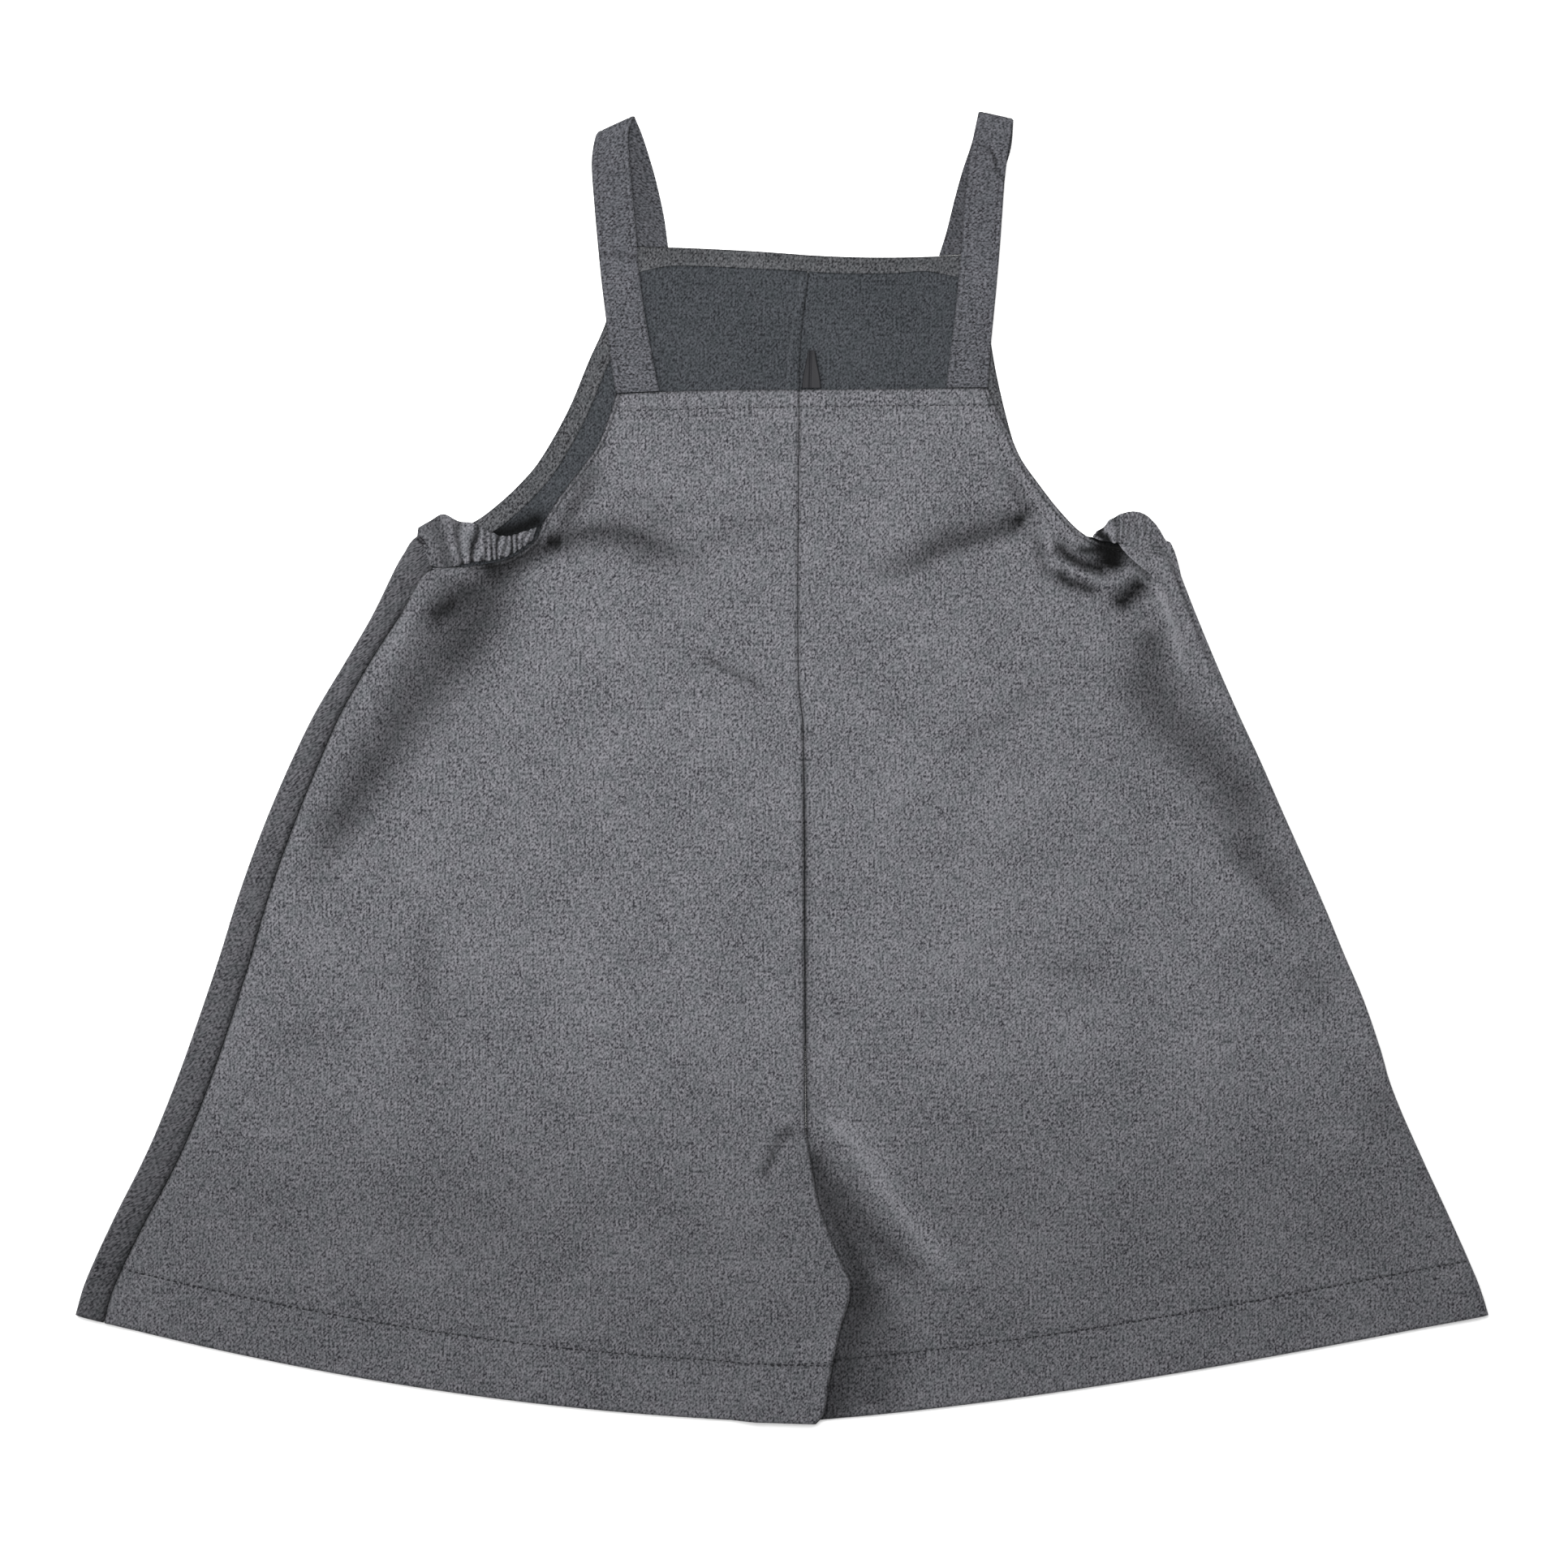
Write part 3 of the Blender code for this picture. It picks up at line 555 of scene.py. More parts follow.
@dataclass(frozen=True)
class Fold:
    """A soft trough or ridge of the cloth, and its painted shade: how much darker or lighter its
    colour is painted.

    Lean makes the flank on the left of the path wider than the one on its right, and narrow
    is the share of its width that it keeps at its end.
    """

    path: Points
    width: float
    height: float
    # Painted shade below zero, painted highlight above zero, strongest along the path
    shade: float = 0.0
    start_fade: float = 6.0
    end_fade: float = 12.0
    lean: float = 0.0
    narrow: float = 1.0
    only: Side | None = None

    def at(self, side: Side, x: Array, y: Array) -> Array:
        """How strong the fold is at some points of one half, from 0 to 1."""
        if self.only not in (None, side):
            return np.zeros(np.shape(x))
        beside = follow(smooth_path(self.path, 5), x, y)
        share = beside.along / beside.length
        flank = self.width * (1.0 + self.lean * beside.hand) * mix(1.0, self.narrow, share)
        fade = (ease(mix(FOLD_END, 1.0, beside.along / self.start_fade))
                * ease(mix(FOLD_END, 1.0, (beside.length - beside.along) / self.end_fade)))
        return fade * bell(beside.gap / flank)


# Folds by where they lie, with the painted shade and painted highlight of each
LEFT_UNDERARM_FOLDS = (
    Fold(((-137.0, 84.0), (-152.0, 50.0), (-180.0, 4.0), (-208.0, -46.0)), 22.0, -1.7, -0.56,
         8.0, 30.0, 0.0, 0.35),
    Fold(((-122.0, 88.0), (-134.0, 64.0), (-147.0, 42.0)), 11.0, -0.6, -0.4, 6.0, 16.0, 0.0,
         0.7),
    Fold(((-157.0, 66.0), (-150.0, 70.0), (-143.0, 75.0)), 4.6, -1.6, -0.8, 3.0, 3.0),
    Fold(((-143.0, 75.0), (-134.0, 82.0), (-124.0, 84.0)), 6.0, -1.0, -0.45, 3.0, 3.0),
    Fold(((-133.0, 91.0), (-123.0, 88.0), (-112.0, 94.0), (-104.0, 99.0)), 5.4, -0.9, -0.74,
         3.0, 3.0),
    Fold(((-150.0, 86.0), (-160.0, 74.0), (-171.0, 52.0), (-184.0, 28.0)), 4.0, 1.0, 0.22,
         8.0, 20.0),
    Fold(((-186.0, 37.0), (-183.0, 24.0), (-181.0, 8.0)), 2.0, 0.7, 0.2, 6.0, 6.0),
    Fold(((-105.0, 100.0), (-97.5, 99.6)), 5.2, -1.6, -0.95, 1.0, 1.0),
    Fold(((-76.0, 113.0), (-46.0, 112.0)), 10.0, -0.3, -0.16, 6.0, 10.0),
    Fold(((-64.0, 106.0), (-36.0, 104.0)), 12.0, -0.1, -0.1, 8.0, 8.0),
    Fold(((-123.0, 99.0), (-120.0, 91.5)), 3.2, -0.8, -0.75, 1.0, 1.0),
    Fold(((-136.0, 91.0), (-127.0, 91.5)), 2.2, -0.8, -0.85, 1.0, 1.0),
    Fold(((-99.0, 101.0), (-84.0, 104.5), (-71.4, 103.7), (-56.0, 98.0), (-40.0, 90.4)), 6.0,
         -1.3, -0.58, 2.0, 26.0, -0.25, 1.3),
    Fold(((-40.0, 94.0), (-24.0, 103.0), (-11.0, 109.8), (5.0, 107.0)), 4.5, -0.5, -0.14),
    Fold(((-80.0, 136.0), (-89.0, 121.0), (-98.0, 106.0)), 4.4, -1.0, -0.52, 14.0, 3.0),
    Fold(((-82.0, 94.0), (-62.0, 90.0)), 10.0, 0.6, 0.05, 8.0, 8.0),
)
RIGHT_UNDERARM_FOLDS = (
    Fold(((102.5, 111.0), (107.5, 108.0)), 4.8, -1.4, -0.92, 1.0, 1.0),
    Fold(((104.0, 108.0), (88.0, 102.3), (71.3, 97.5), (62.0, 92.0), (46.0, 86.0)), 6.4, -1.4,
         -0.6, 2.0, 26.0, -0.25),
    Fold(((99.0, 131.0), (106.0, 118.0), (112.0, 110.0)), 3.6, -0.9, -0.36, 12.0, 4.0),
    Fold(((118.4, 104.8), (118.6, 95.0), (121.5, 85.0)), 1.5, 1.5, 0.35, 5.0, 5.0),
    Fold(((113.0, 104.0), (114.5, 94.0), (119.0, 83.0)), 2.8, -0.8, -0.4, 5.0, 6.0),
    Fold(((147.0, 106.0), (146.0, 97.0), (144.5, 89.5)), 7.6, -2.2, -1.0, 1.0, 1.0),
    Fold(((147.0, 95.0), (145.5, 87.5)), 3.8, -0.4, -0.95, 1.0, 1.0),
    Fold(((142.4, 103.0), (142.2, 96.0), (142.6, 89.5)), 2.8, -0.3, -0.85, 1.0, 1.0),
    Fold(((150.6, 100.0), (149.8, 94.0), (148.4, 88.5)), 2.6, -0.3, -0.85, 1.0, 1.0),
    Fold(((131.0, 96.6), (136.0, 95.8), (142.0, 97.5)), 1.9, -0.9, -0.85, 3.0, 1.0),
    Fold(((122.0, 99.5), (126.0, 94.0), (133.0, 90.3), (143.0, 87.5)), 3.0, -1.4, -0.88, 3.0,
         1.0),
    Fold(((131.0, 93.6), (139.0, 92.6)), 1.6, 0.5, 0.1, 2.0, 2.0),
    Fold(((150.0, 98.5), (154.0, 93.0), (160.0, 87.0), (166.0, 80.0)), 2.6, -0.7, -0.5, 2.0,
         4.0),
    Fold(((122.6, 93.0), (128.0, 88.4), (135.0, 84.0), (141.5, 82.0), (148.5, 82.6),
          (154.0, 85.5)), 2.6, 2.2, 0.3, 3.0, 4.0),
    Fold(((121.5, 87.0), (126.0, 82.4), (132.0, 80.6), (140.5, 77.4)), 2.6, -1.5, -0.84, 3.0,
         5.0),
    Fold(((147.5, 71.0), (153.0, 75.5), (160.0, 82.0)), 5.0, -2.0, -0.97, 3.0, 1.0),
    Fold(((162.0, 63.0), (164.0, 55.0), (165.0, 44.0)), 7.0, -1.3, -0.5, 6.0, 8.0),
    Fold(((163.2, 85.0), (169.2, 73.3), (174.5, 58.0), (178.9, 39.5)), 1.9, 2.0, 0.5, 3.0,
         10.0),
    Fold(((156.0, 48.0), (172.0, 22.0), (190.0, 4.0), (203.0, -14.0), (214.0, -36.0)), 14.0,
         -1.5, -0.5, 14.0, 26.0),
    Fold(((197.0, -33.0), (206.0, -41.0), (216.0, -52.0), (228.0, -70.0)), 8.0, -1.3, -0.38,
         8.0, 12.0, 0.35),
    Fold(((192.0, -44.0), (204.0, -58.0), (216.0, -76.0)), 6.0, 0.8, 0.05, 8.0, 8.0),
    Fold(((136.0, 60.0), (146.0, 50.0)), 8.0, 0.8, 0.04, 6.0, 6.0),
)
BODY_FOLDS = (
    Fold(((-36.0, 48.6), (-22.0, 41.0), (-7.5, 34.0)), 1.9, -0.9, -0.46, 6.0, 6.0, 0.5),
    Fold(((-52.0, 55.0), (-46.0, 53.0)), 7.0, -0.3, -0.08),
    Fold(((122.0, 42.0), (108.0, 29.0), (95.5, 20.0), (71.3, 7.9)), 6.5, -0.8, -0.14, 12.0,
         16.0),
    Fold(((49.6, 31.0), (51.0, 22.0)), 6.0, -0.4, -0.12, 6.0, 6.0),
    Fold(((78.0, 52.0), (60.0, 36.0)), 7.0, -0.4, -0.07),
    Fold(((112.0, -88.0), (128.0, -90.0), (146.0, -93.0)), 4.5, -0.6, -0.14, 8.0, 10.0),
    Fold(((49.0, -38.0), (76.0, -37.0), (103.0, -40.0)), 7.0, -0.4, -0.07),
    Fold(((226.0, -90.0), (236.0, -95.0), (246.0, -104.0)), 11.0, -0.9, -0.22, 8.0, 8.0),
    Fold(((262.0, -140.0), (268.0, -166.0)), 11.0, -0.8, -0.2, 8.0, 8.0),
    Fold(((-158.0, -60.0), (-159.0, -100.0), (-161.0, -140.0)), 4.5, -0.5, -0.13, 14.0, 14.0),
    Fold(((-214.0, -112.0), (-212.0, -130.0)), 17.0, -0.6, -0.13),
    Fold(((-190.0, -100.0), (-140.0, -120.0)), 24.0, -0.4, -0.08),
    Fold(((-117.0, -182.0), (-113.0, -194.0)), 11.0, -0.5, -0.13),
    Fold(((-180.0, -200.0), (-110.0, -215.0)), 20.0, -0.3, -0.07),
    Fold(((9.4, 10.0), (10.3, -70.0), (10.6, -150.0)), 3.2, 0.0, -0.16, 50.0, 8.0),
    Fold(((60.0, 60.0), (84.0, -20.0), (92.0, -110.0)), 26.0, 0.5, 0.03),
)
LEG_FOLDS = (
    Fold(((19.0, -156.5), (32.5, -169.0), (46.0, -188.5), (60.0, -207.5), (79.0, -228.0)), 6.0,
         2.2, 0.45, 5.0, 22.0, 0.2),
    Fold(((24.0, -182.0), (34.0, -200.0), (46.0, -214.0), (60.0, -226.0)), 5.5, -1.0, -0.45,
         8.0, 14.0, 0.0, 1.0, Side.RIGHT),
    # Painted shadow that the left leg would cast on the right leg, beside its edge
    Fold(((12.0, -168.0), (19.0, -190.0), (31.0, -216.0), (34.0, -229.0), (31.0, -246.0),
          (26.0, -268.0), (20.0, -292.0)), 6.0, 0.0, -0.66, 8.0, 1.0, 0.0, 1.8, Side.RIGHT),
    Fold(((36.0, -228.0), (44.0, -250.0), (42.0, -284.0)), 10.0, -0.6, -0.37, 8.0, 2.0, 0.0,
         1.2, Side.RIGHT),
    Fold(((6.0, -162.5), (2.0, -161.5), (-3.0, -168.0), (-9.5, -184.0)), 2.0, -1.0, -0.6, 3.0,
         6.0, 0.0, 1.0, Side.LEFT),
    Fold(((-26.0, -168.0), (-25.0, -184.0), (-28.0, -205.0)), 4.2, 0.9, 0.07, 8.0, 12.0, 0.0,
         1.0, Side.LEFT),
    Fold(((-8.0, -190.0), (4.0, -210.0)), 9.0, 0.6, 0.03, 8.0, 8.0, 0.0, 1.0, Side.LEFT),
)
FOLDS = LEFT_UNDERARM_FOLDS + RIGHT_UNDERARM_FOLDS + BODY_FOLDS + LEG_FOLDS


class Swell(NamedTuple):
    """One long, shallow wave of the cloth."""

    turn: float
    length: float
    height: float
    start: float


SWELLS = (
    Swell(0.3, 96.0, 0.2, 0.4),
    Swell(1.2, 141.0, 0.24, 2.1),
    Swell(2.0, 73.0, 0.12, 4.4),
    Swell(2.7, 118.0, 0.18, 1.3),
    Swell(0.8, 47.0, 0.07, 3.0),
)


class Form:
    """The garment's outlines, seams and heights, and the painted shade of its folds, which its
    pieces share.
    """

    outline = {
        Side.LEFT: curve_of(OUTLINE, "y", "left"),
        Side.RIGHT: curve_of(OUTLINE, "y", "right"),
    }
    side_seam = {
        Side.LEFT: curve_of(SEAM_FROM_OUTLINE, "y", "left"),
        Side.RIGHT: curve_of(SEAM_FROM_OUTLINE, "y", "right"),
    }
    inseam = {
        Side.LEFT: curve_of(LEFT_INSEAM, "y", "x"),
        Side.RIGHT: curve_of(RIGHT_INSEAM, "y", "x"),
    }
    centre = {
        Face.NEAR: curve_of(CENTRE_BACK, "y", "x"),
        Face.FAR: curve_of(CENTRE_FRONT, "y", "x"),
    }
    hem_hang = {Side.LEFT: 10.0, Side.RIGHT: 5.0}
    hem_lean = {Side.LEFT: 0.0, Side.RIGHT: 0.3}
    hem_hang_share = 0.8

    def centre_x(self, side: Side, face: Face, y: Array) -> Array:
        """Inner edge of a panel: the centre seam, and below the crotch the leg's edge."""
        seam = self.centre[face].at(y) + side.value * SEAM_GAP / 2.0
        return np.where(y <= CROTCH_Y, self.inseam[side].at(y), seam)

    def hem_bow(self, side: Side, share: Array) -> Array:
        """How far the hem hangs below a straight line, from the outer corner inwards."""
        lean = 1.0 + self.hem_lean[side] * (2.0 * share - 1.0)
        return self.hem_hang[side] * 4.0 * share * (1.0 - share) * lean

    def hem_y(self, side: Side, x: Array) -> Array:
        """Bottom edge of a leg."""
        corner = self.outline[side].at(HEM_CORNER_Y)
        end = self.inseam[side].at(INSEAM_END_Y)
        share = np.clip((x - corner) / (end - corner), 0.0, 1.0)
        return mix(HEM_CORNER_Y, INSEAM_END_Y, share) - self.hem_bow(side, share)

    def wall_at(self, side: Side, x: Array, y: Array) -> Array:
        """Thickness of a panel, which is doubled and pressed at the hem."""
        above = y - self.hem_y(side, x) - HEM_DEPTH
        return mix(HEM_WALL, WALL, ease(above / HEM_EASE))

    def leg_split(self, y: Array) -> Array:
        """From 0 above the crotch to 1 where one leg lies over the other."""
        return ease((CROTCH_Y + CROTCH_LEAD + CROTCH_EASE - y) / CROTCH_EASE)

    def flat_leg(self, side: Side, x: Array, y: Array) -> Array:
        """Thickness of a leg that is pressed flat."""
        return 2.0 * self.wall_at(side, x, y) + LAYER_GAP

    def far_level(self, side: Side, x: Array, y: Array) -> Array:
        """Height of the far surface, which the left leg lifts over the right one."""
        if side is Side.RIGHT:
            return np.zeros(np.shape(x))
        edge = self.inseam[Side.RIGHT].at(np.minimum(y, CROTCH_Y))
        climb = ease((x - edge + LEG_RAMP + LEG_LEAD) / LEG_RAMP)
        below = self.flat_leg(Side.RIGHT, x, y - LEG_BAND_LEAD) + LEG_CLEARANCE
        return self.leg_split(y) * climb * below

    def relief(self, side: Side, x: Array, y: Array) -> Array:
        """Folds and long waves of the near surface, which fade at the sides and hems."""
        total = np.zeros(np.shape(x))
        for fold in FOLDS:
            total = total + fold.height * fold.at(side, x, y)
        for swell in SWELLS:
            run = x * math.cos(swell.turn) + y * math.sin(swell.turn)
            total = total + swell.height * np.sin(2.0 * math.pi * run / swell.length
                                                  + swell.start)
        inward = np.abs(x - self.outline[side].at(y))
        hem = y - self.hem_y(side, x) - HEM_DEPTH
        settle = mix(HEM_RELIEF, 1.0, ease(hem / HEM_SETTLE))
        return total * settle * ease((inward - FOLD_START) / SIDE_ROLL_FLAT)

    def shade(self, side: Side, x: Array, y: Array) -> Array:
        """Painted shade, below zero, and painted highlight, above zero, of the cloth's colour in
        its folds and legs.
        """
        total = 1.0 - LEG_SHADE * ease((LEG_SHADE_Y - y) / LEG_SHADE_REACH)
        for fold in FOLDS:
            total = total * (1.0 + fold.shade * fold.at(side, x, y))
        return total - 1.0

    def near_level(self, side: Side, x: Array, y: Array, relief: Array) -> Array:
        """Height of the near surface.

        Args:
            side: Half of the garment.
            x: First coordinate of each point.
            y: Second coordinate of each point.
            relief: Folds at each point.

        Returns:
            The height at each point.
        """
        bib = ease((y - BODY_START_Y) / (BIB_END_Y - BODY_START_Y))
        level = mix(BODY_LEVEL, BIB_LEVEL, bib)
        inward = np.abs(x - self.outline[side].at(y))
        level = mix(level, SIDE_LEVEL, 1.0 - ease((inward - SIDE_ROLL_FLAT) / SIDE_ROLL_FADE))
        flat = self.flat_leg(side, x, y)
        strip = ease((STRIP_REACH - np.abs(x - STRIP_X)) / STRIP_FADE)
        strip = strip * ease((y - ALLOWANCE_END_Y + CROTCH_EASE) / CROTCH_EASE)
        if side is Side.RIGHT:
            strip = np.maximum(strip, ease((y - UNDERARM_Y) / STRIP_FADE))
        least = flat + (WALL + LAYER_GAP) * strip + LAYER_GAP
        level = level + relief
        level = (level + least + np.sqrt(np.square(level - least) + SOFT_STOP ** 2)) / 2.0
        if side is Side.LEFT:
            edge = self.inseam[Side.RIGHT].at(np.minimum(y, CROTCH_Y))
            pressed = ease((x - edge + LEG_RAMP) / LEG_RAMP)
        else:
            edge = self.inseam[Side.LEFT].at(np.minimum(y, CROTCH_Y))
            pressed = 1.0 - ease((x - edge - LEG_LEAD) / LEG_PRESS_FADE)
        return self.far_level(side, x, y) + mix(level, flat, pressed * self.leg_split(y))


FORM = Form()


class Shader(Enum):
    """Kinds of shader node that the finishes use."""

    MATH = "ShaderNodeMath"
    MIX = "ShaderNodeMix"
    NOISE = "ShaderNodeTexNoise"
    WAVE = "ShaderNodeTexWave"
    ATTRIBUTE = "ShaderNodeAttribute"
    COORDINATES = "ShaderNodeTexCoord"
    MAPPING = "ShaderNodeMapping"
    BUMP = "ShaderNodeBump"
    RANGE = "ShaderNodeMapRange"


class Value:
    """A shader value that can be used in an expression."""

    def __init__(self, graph: "Graph", socket: bpy.types.NodeSocket) -> None:
        """Wrap an output socket of a graph."""
        self.graph = graph
        self.socket = socket

    def __add__(self, other: "Value | float") -> "Value":
        """Add."""
        return self.graph.math("ADD", self, other)

    def __sub__(self, other: "Value | float") -> "Value":
        """Subtract."""
        return self.graph.math("SUBTRACT", self, other)

    def __rsub__(self, other: float) -> "Value":
        """Subtract from a number."""
        return self.graph.math("SUBTRACT", other, self)

    def __mul__(self, other: "Value | float") -> "Value":
        """Multiply."""
        return self.graph.math("MULTIPLY", self, other)

    __radd__ = __add__
    __rmul__ = __mul__


class Graph:
    """The node tree of one finish."""

    def __init__(self, name: str) -> None:
        """Start a material with a plain cloth shader."""
        self.material = bpy.data.materials.new(name)
        self.material.use_nodes = True
        self.tree = self.material.node_tree
        self.shader = self.tree.nodes["Principled BSDF"]

    def node(self, kind: Shader, settings: dict[str, object],
             inputs: dict[str, object]) -> bpy.types.Node:
        """Add a node.

        Args:
            kind: Kind of node.
            settings: Its settings, set before the sockets.
            inputs: Values or links of its sockets, by identifier.

        Returns:
            The node.
        """
        made = self.tree.nodes.new(kind.value)
        for name, setting in settings.items():
            setattr(made, name, setting)
        sockets = {socket.identifier: socket for socket in made.inputs}
        for name, value in inputs.items():
            self.feed(sockets[name], value)
        return made

    def feed(self, socket: bpy.types.NodeSocket, value: object) -> None:
        """Link a value to a socket, or set the socket."""
        if isinstance(value, Value):
            self.tree.links.new(value.socket, socket)
        else:
            socket.default_value = value

    def math(self, operation: str, *values: "Value | float") -> Value:
        """Add a Math node."""
        names = ("Value", "Value_001", "Value_002")
        made = self.node(Shader.MATH, {"operation": operation}, dict(zip(names, values)))
        return Value(self, made.outputs[0])

    def noise(self, where: Value, scale: float, detail: float, roughness: float) -> Value:
        """Add a noise and give its strength, round 0.5."""
        made = self.node(Shader.NOISE, {"noise_dimensions": "3D"}, {
            "Vector": where, "Scale": scale, "Detail": detail, "Roughness": roughness})
        return Value(self, made.outputs[0])

    def stretched(self, where: Value, scale: tuple[float, float, float],
                  turn: float = 0.0) -> Value:
        """Scale, then turn a place."""
        made = self.node(Shader.MAPPING, {"vector_type": "POINT"}, {
            "Vector": where, "Rotation": (0.0, 0.0, turn), "Scale": scale})
        return Value(self, made.outputs[0])

    def blend(self, first: object, second: object, share: "Value | float") -> Value:
        """Mix two colours."""
        made = self.node(Shader.MIX, {"data_type": "RGBA", "clamp_factor": True}, {
            "Factor_Float": share, "A_Color": first, "B_Color": second})
        return Value(self, next(o for o in made.outputs if o.identifier == "Result_Color"))

    def remap(self, value: Value, low: float, high: float, to_low: float,
              to_high: float) -> Value:
        """Map a range of values to another, held at its ends."""
        made = self.node(Shader.RANGE, {"clamp": True}, {
            "Value": value, "From Min": low, "From Max": high, "To Min": to_low,
            "To Max": to_high})
        return Value(self, made.outputs[0])

    def attribute(self, name: str) -> bpy.types.Node:
        """Read an attribute of the mesh."""
        return self.node(Shader.ATTRIBUTE, {"attribute_name": name}, {})

    def raise_grain(self, height: Value, strength: float, depth: float) -> None:
        """Bump the surface by a height."""
        bump = self.node(Shader.BUMP, {}, {
            "Strength": strength, "Distance": depth, "Height": height})
        self.feed(self.shader.inputs["Normal"], Value(self, bump.outputs[0]))


@dataclass(frozen=True)
class Suiting:
    """Twill suiting spun from dark and light fibres.

    The mesh gives each point its place on the cloth, in millimetres, with the grain along
    the second number, how hard the cloth is pressed there, which lightens it partly as worn
    cloth and partly as a painted sheen, and its painted shading: painted shade below zero and
    painted highlight above zero.
    """

    name: str
    dark: Colour
    light: Colour
    cool: Colour
    roughness: float = 0.93
    pressed_roughness: float = 0.78
    streak: float = 1.0
    streak_size: tuple[float, float, float] = (0.95, 0.17, 1.0)
    fibre: float = 2.6
    fibre_size: tuple[float, float, float] = (1.05, 0.8, 1.0)
    cloud: float = 0.4
    cloud_scale: float = 0.03
    twill: float = 0.22
    twill_scale: float = 0.262
    twill_turn: float = math.radians(45.0)
    # How much pressing lightens the colour: partly worn, pressed cloth and partly a painted sheen
    pressed: float = 0.12
    # How much a painted highlight lightens the colour where the painted shading is above zero
    raised: float = 0.9
    tint: float = 0.35
    tint_scale: float = 0.15
    bump: float = 0.35
    bump_depth: float = 0.00025
    specular: float = 0.05
    sheen: float = 0.02
    sheen_roughness: float = 0.6

    def make(self) -> bpy.types.Material:
        """Build the finish.

        Returns:
            The material.
        """
        graph = Graph(self.name)
        place = Value(graph, graph.attribute("cloth").outputs["Vector"])
        press = Value(graph, graph.attribute("press").outputs["Fac"])
        streaks = graph.noise(graph.stretched(place, self.streak_size), 1.0, 1.0, 0.5)
        fibres = graph.noise(graph.stretched(place, self.fibre_size), 1.0, 1.0, 0.6)
        cloud = graph.noise(place, self.cloud_scale, 3.0, 0.5)
        tint = graph.noise(place, self.tint_scale, 2.0, 0.5)
        # Painted shade and painted highlight of the folds, seams and edges, read from the mesh
        hollow = Value(graph, graph.attribute("hollow").outputs["Fac"])
        wave = graph.node(Shader.WAVE, {"wave_type": "BANDS", "bands_direction": "X",
                                        "wave_profile": "SIN"}, {
            "Vector": graph.stretched(place, (1.0, 1.0, 1.0), self.twill_turn),
            "Scale": self.twill_scale, "Distortion": 0.6, "Detail": 1.0, "Detail Scale": 0.5})
        twill = Value(graph, wave.outputs["Fac"])
        share = (0.5 + (streaks - 0.5) * self.streak + (fibres - 0.5) * self.fibre
                 + (cloud - 0.5) * self.cloud + (twill - 0.5) * self.twill
                 + press * self.pressed + graph.math("MAXIMUM", hollow, 0.0) * self.raised)
        colour = graph.blend(self.dark, self.light, share)
        colour = graph.blend(colour, self.cool, graph.remap(tint, 0.4, 0.75, 0.0, self.tint))
        # Painted shade: the colour goes towards black as the painted shading falls below zero
        colour = graph.blend((0.0, 0.0, 0.0, 1.0), colour, hollow + 1.0)
        graph.feed(graph.shader.inputs["Base Color"], colour)
        graph.feed(graph.shader.inputs["Roughness"],
                   graph.remap(press, 0.0, 1.0, self.roughness, self.pressed_roughness))
        height = twill * 0.5 + fibres * 0.8 + streaks * 0.3
        graph.raise_grain(height, self.bump, self.bump_depth)
        graph.shader.inputs["Specular IOR Level"].default_value = self.specular
        graph.shader.inputs["Sheen Weight"].default_value = self.sheen
        graph.shader.inputs["Sheen Roughness"].default_value = self.sheen_roughness
        return graph.material


@dataclass(frozen=True)
class Thread:
    """Matt sewing thread or ribbon, with fine cross ribs."""

    name: str
    colour: Colour
    lighter: Colour
    roughness: float = 0.7
    roughness_spread: float = 0.1
    rib_scale: float = 2600.0
    bump: float = 0.3
    bump_depth: float = 0.0002
    specular: float = 0.1

    def make(self) -> bpy.types.Material:
        """Build the finish.

        Returns:
            The material.
        """
        graph = Graph(self.name)
        made = graph.node(Shader.COORDINATES, {}, {})
        ribs = graph.noise(Value(graph, made.outputs["Object"]), self.rib_scale, 2.0, 0.6)
        graph.feed(graph.shader.inputs["Base Color"],
                   graph.blend(self.colour, self.lighter, ribs))
        graph.feed(graph.shader.inputs["Roughness"],
                   graph.remap(ribs, 0.0, 1.0, self.roughness - self.roughness_spread,
                               self.roughness + self.roughness_spread))
        graph.raise_grain(ribs, self.bump, self.bump_depth)
        graph.shader.inputs["Specular IOR Level"].default_value = self.specular
        return graph.material


class Finishes:
    """The finishes of the garment, made once."""

    def __init__(self) -> None:
        """Build each finish."""
        self.outside = Suiting("suiting", (0.012, 0.012, 0.0145, 1.0),
                               (0.116, 0.115, 0.125, 1.0), (0.052, 0.06, 0.062, 1.0)).make()
        # Darker copies of the outside suiting: the inside partly for the cloth's reverse face and
        # partly as painted shade, the strap and facing as painted shade
        self.inside = Suiting("suiting_inside", (0.007, 0.0075, 0.009, 1.0),
                              (0.04, 0.043, 0.048, 1.0), (0.017, 0.021, 0.022, 1.0),
                              streak=0.8).make()
        self.strap = Suiting("suiting_strap", (0.008, 0.008, 0.0095, 1.0),
                             (0.078, 0.079, 0.088, 1.0), (0.034, 0.038, 0.042, 1.0),
                             streak=0.8).make()
        self.facing = Suiting("suiting_facing", (0.006, 0.006, 0.007, 1.0),
                              (0.067, 0.068, 0.072, 1.0), (0.028, 0.032, 0.034, 1.0),
                              streak=0.8).make()
        # Near-black thread, partly its own colour and partly painted shadow of the stitch holes
        self.thread = Thread("sewing_thread", (0.003, 0.003, 0.004, 1.0),
                             (0.012, 0.012, 0.014, 1.0)).make()
        self.ribbon = Thread("black_ribbon", (0.004, 0.004, 0.005, 1.0),
                             (0.014, 0.014, 0.016, 1.0), 0.55).make()


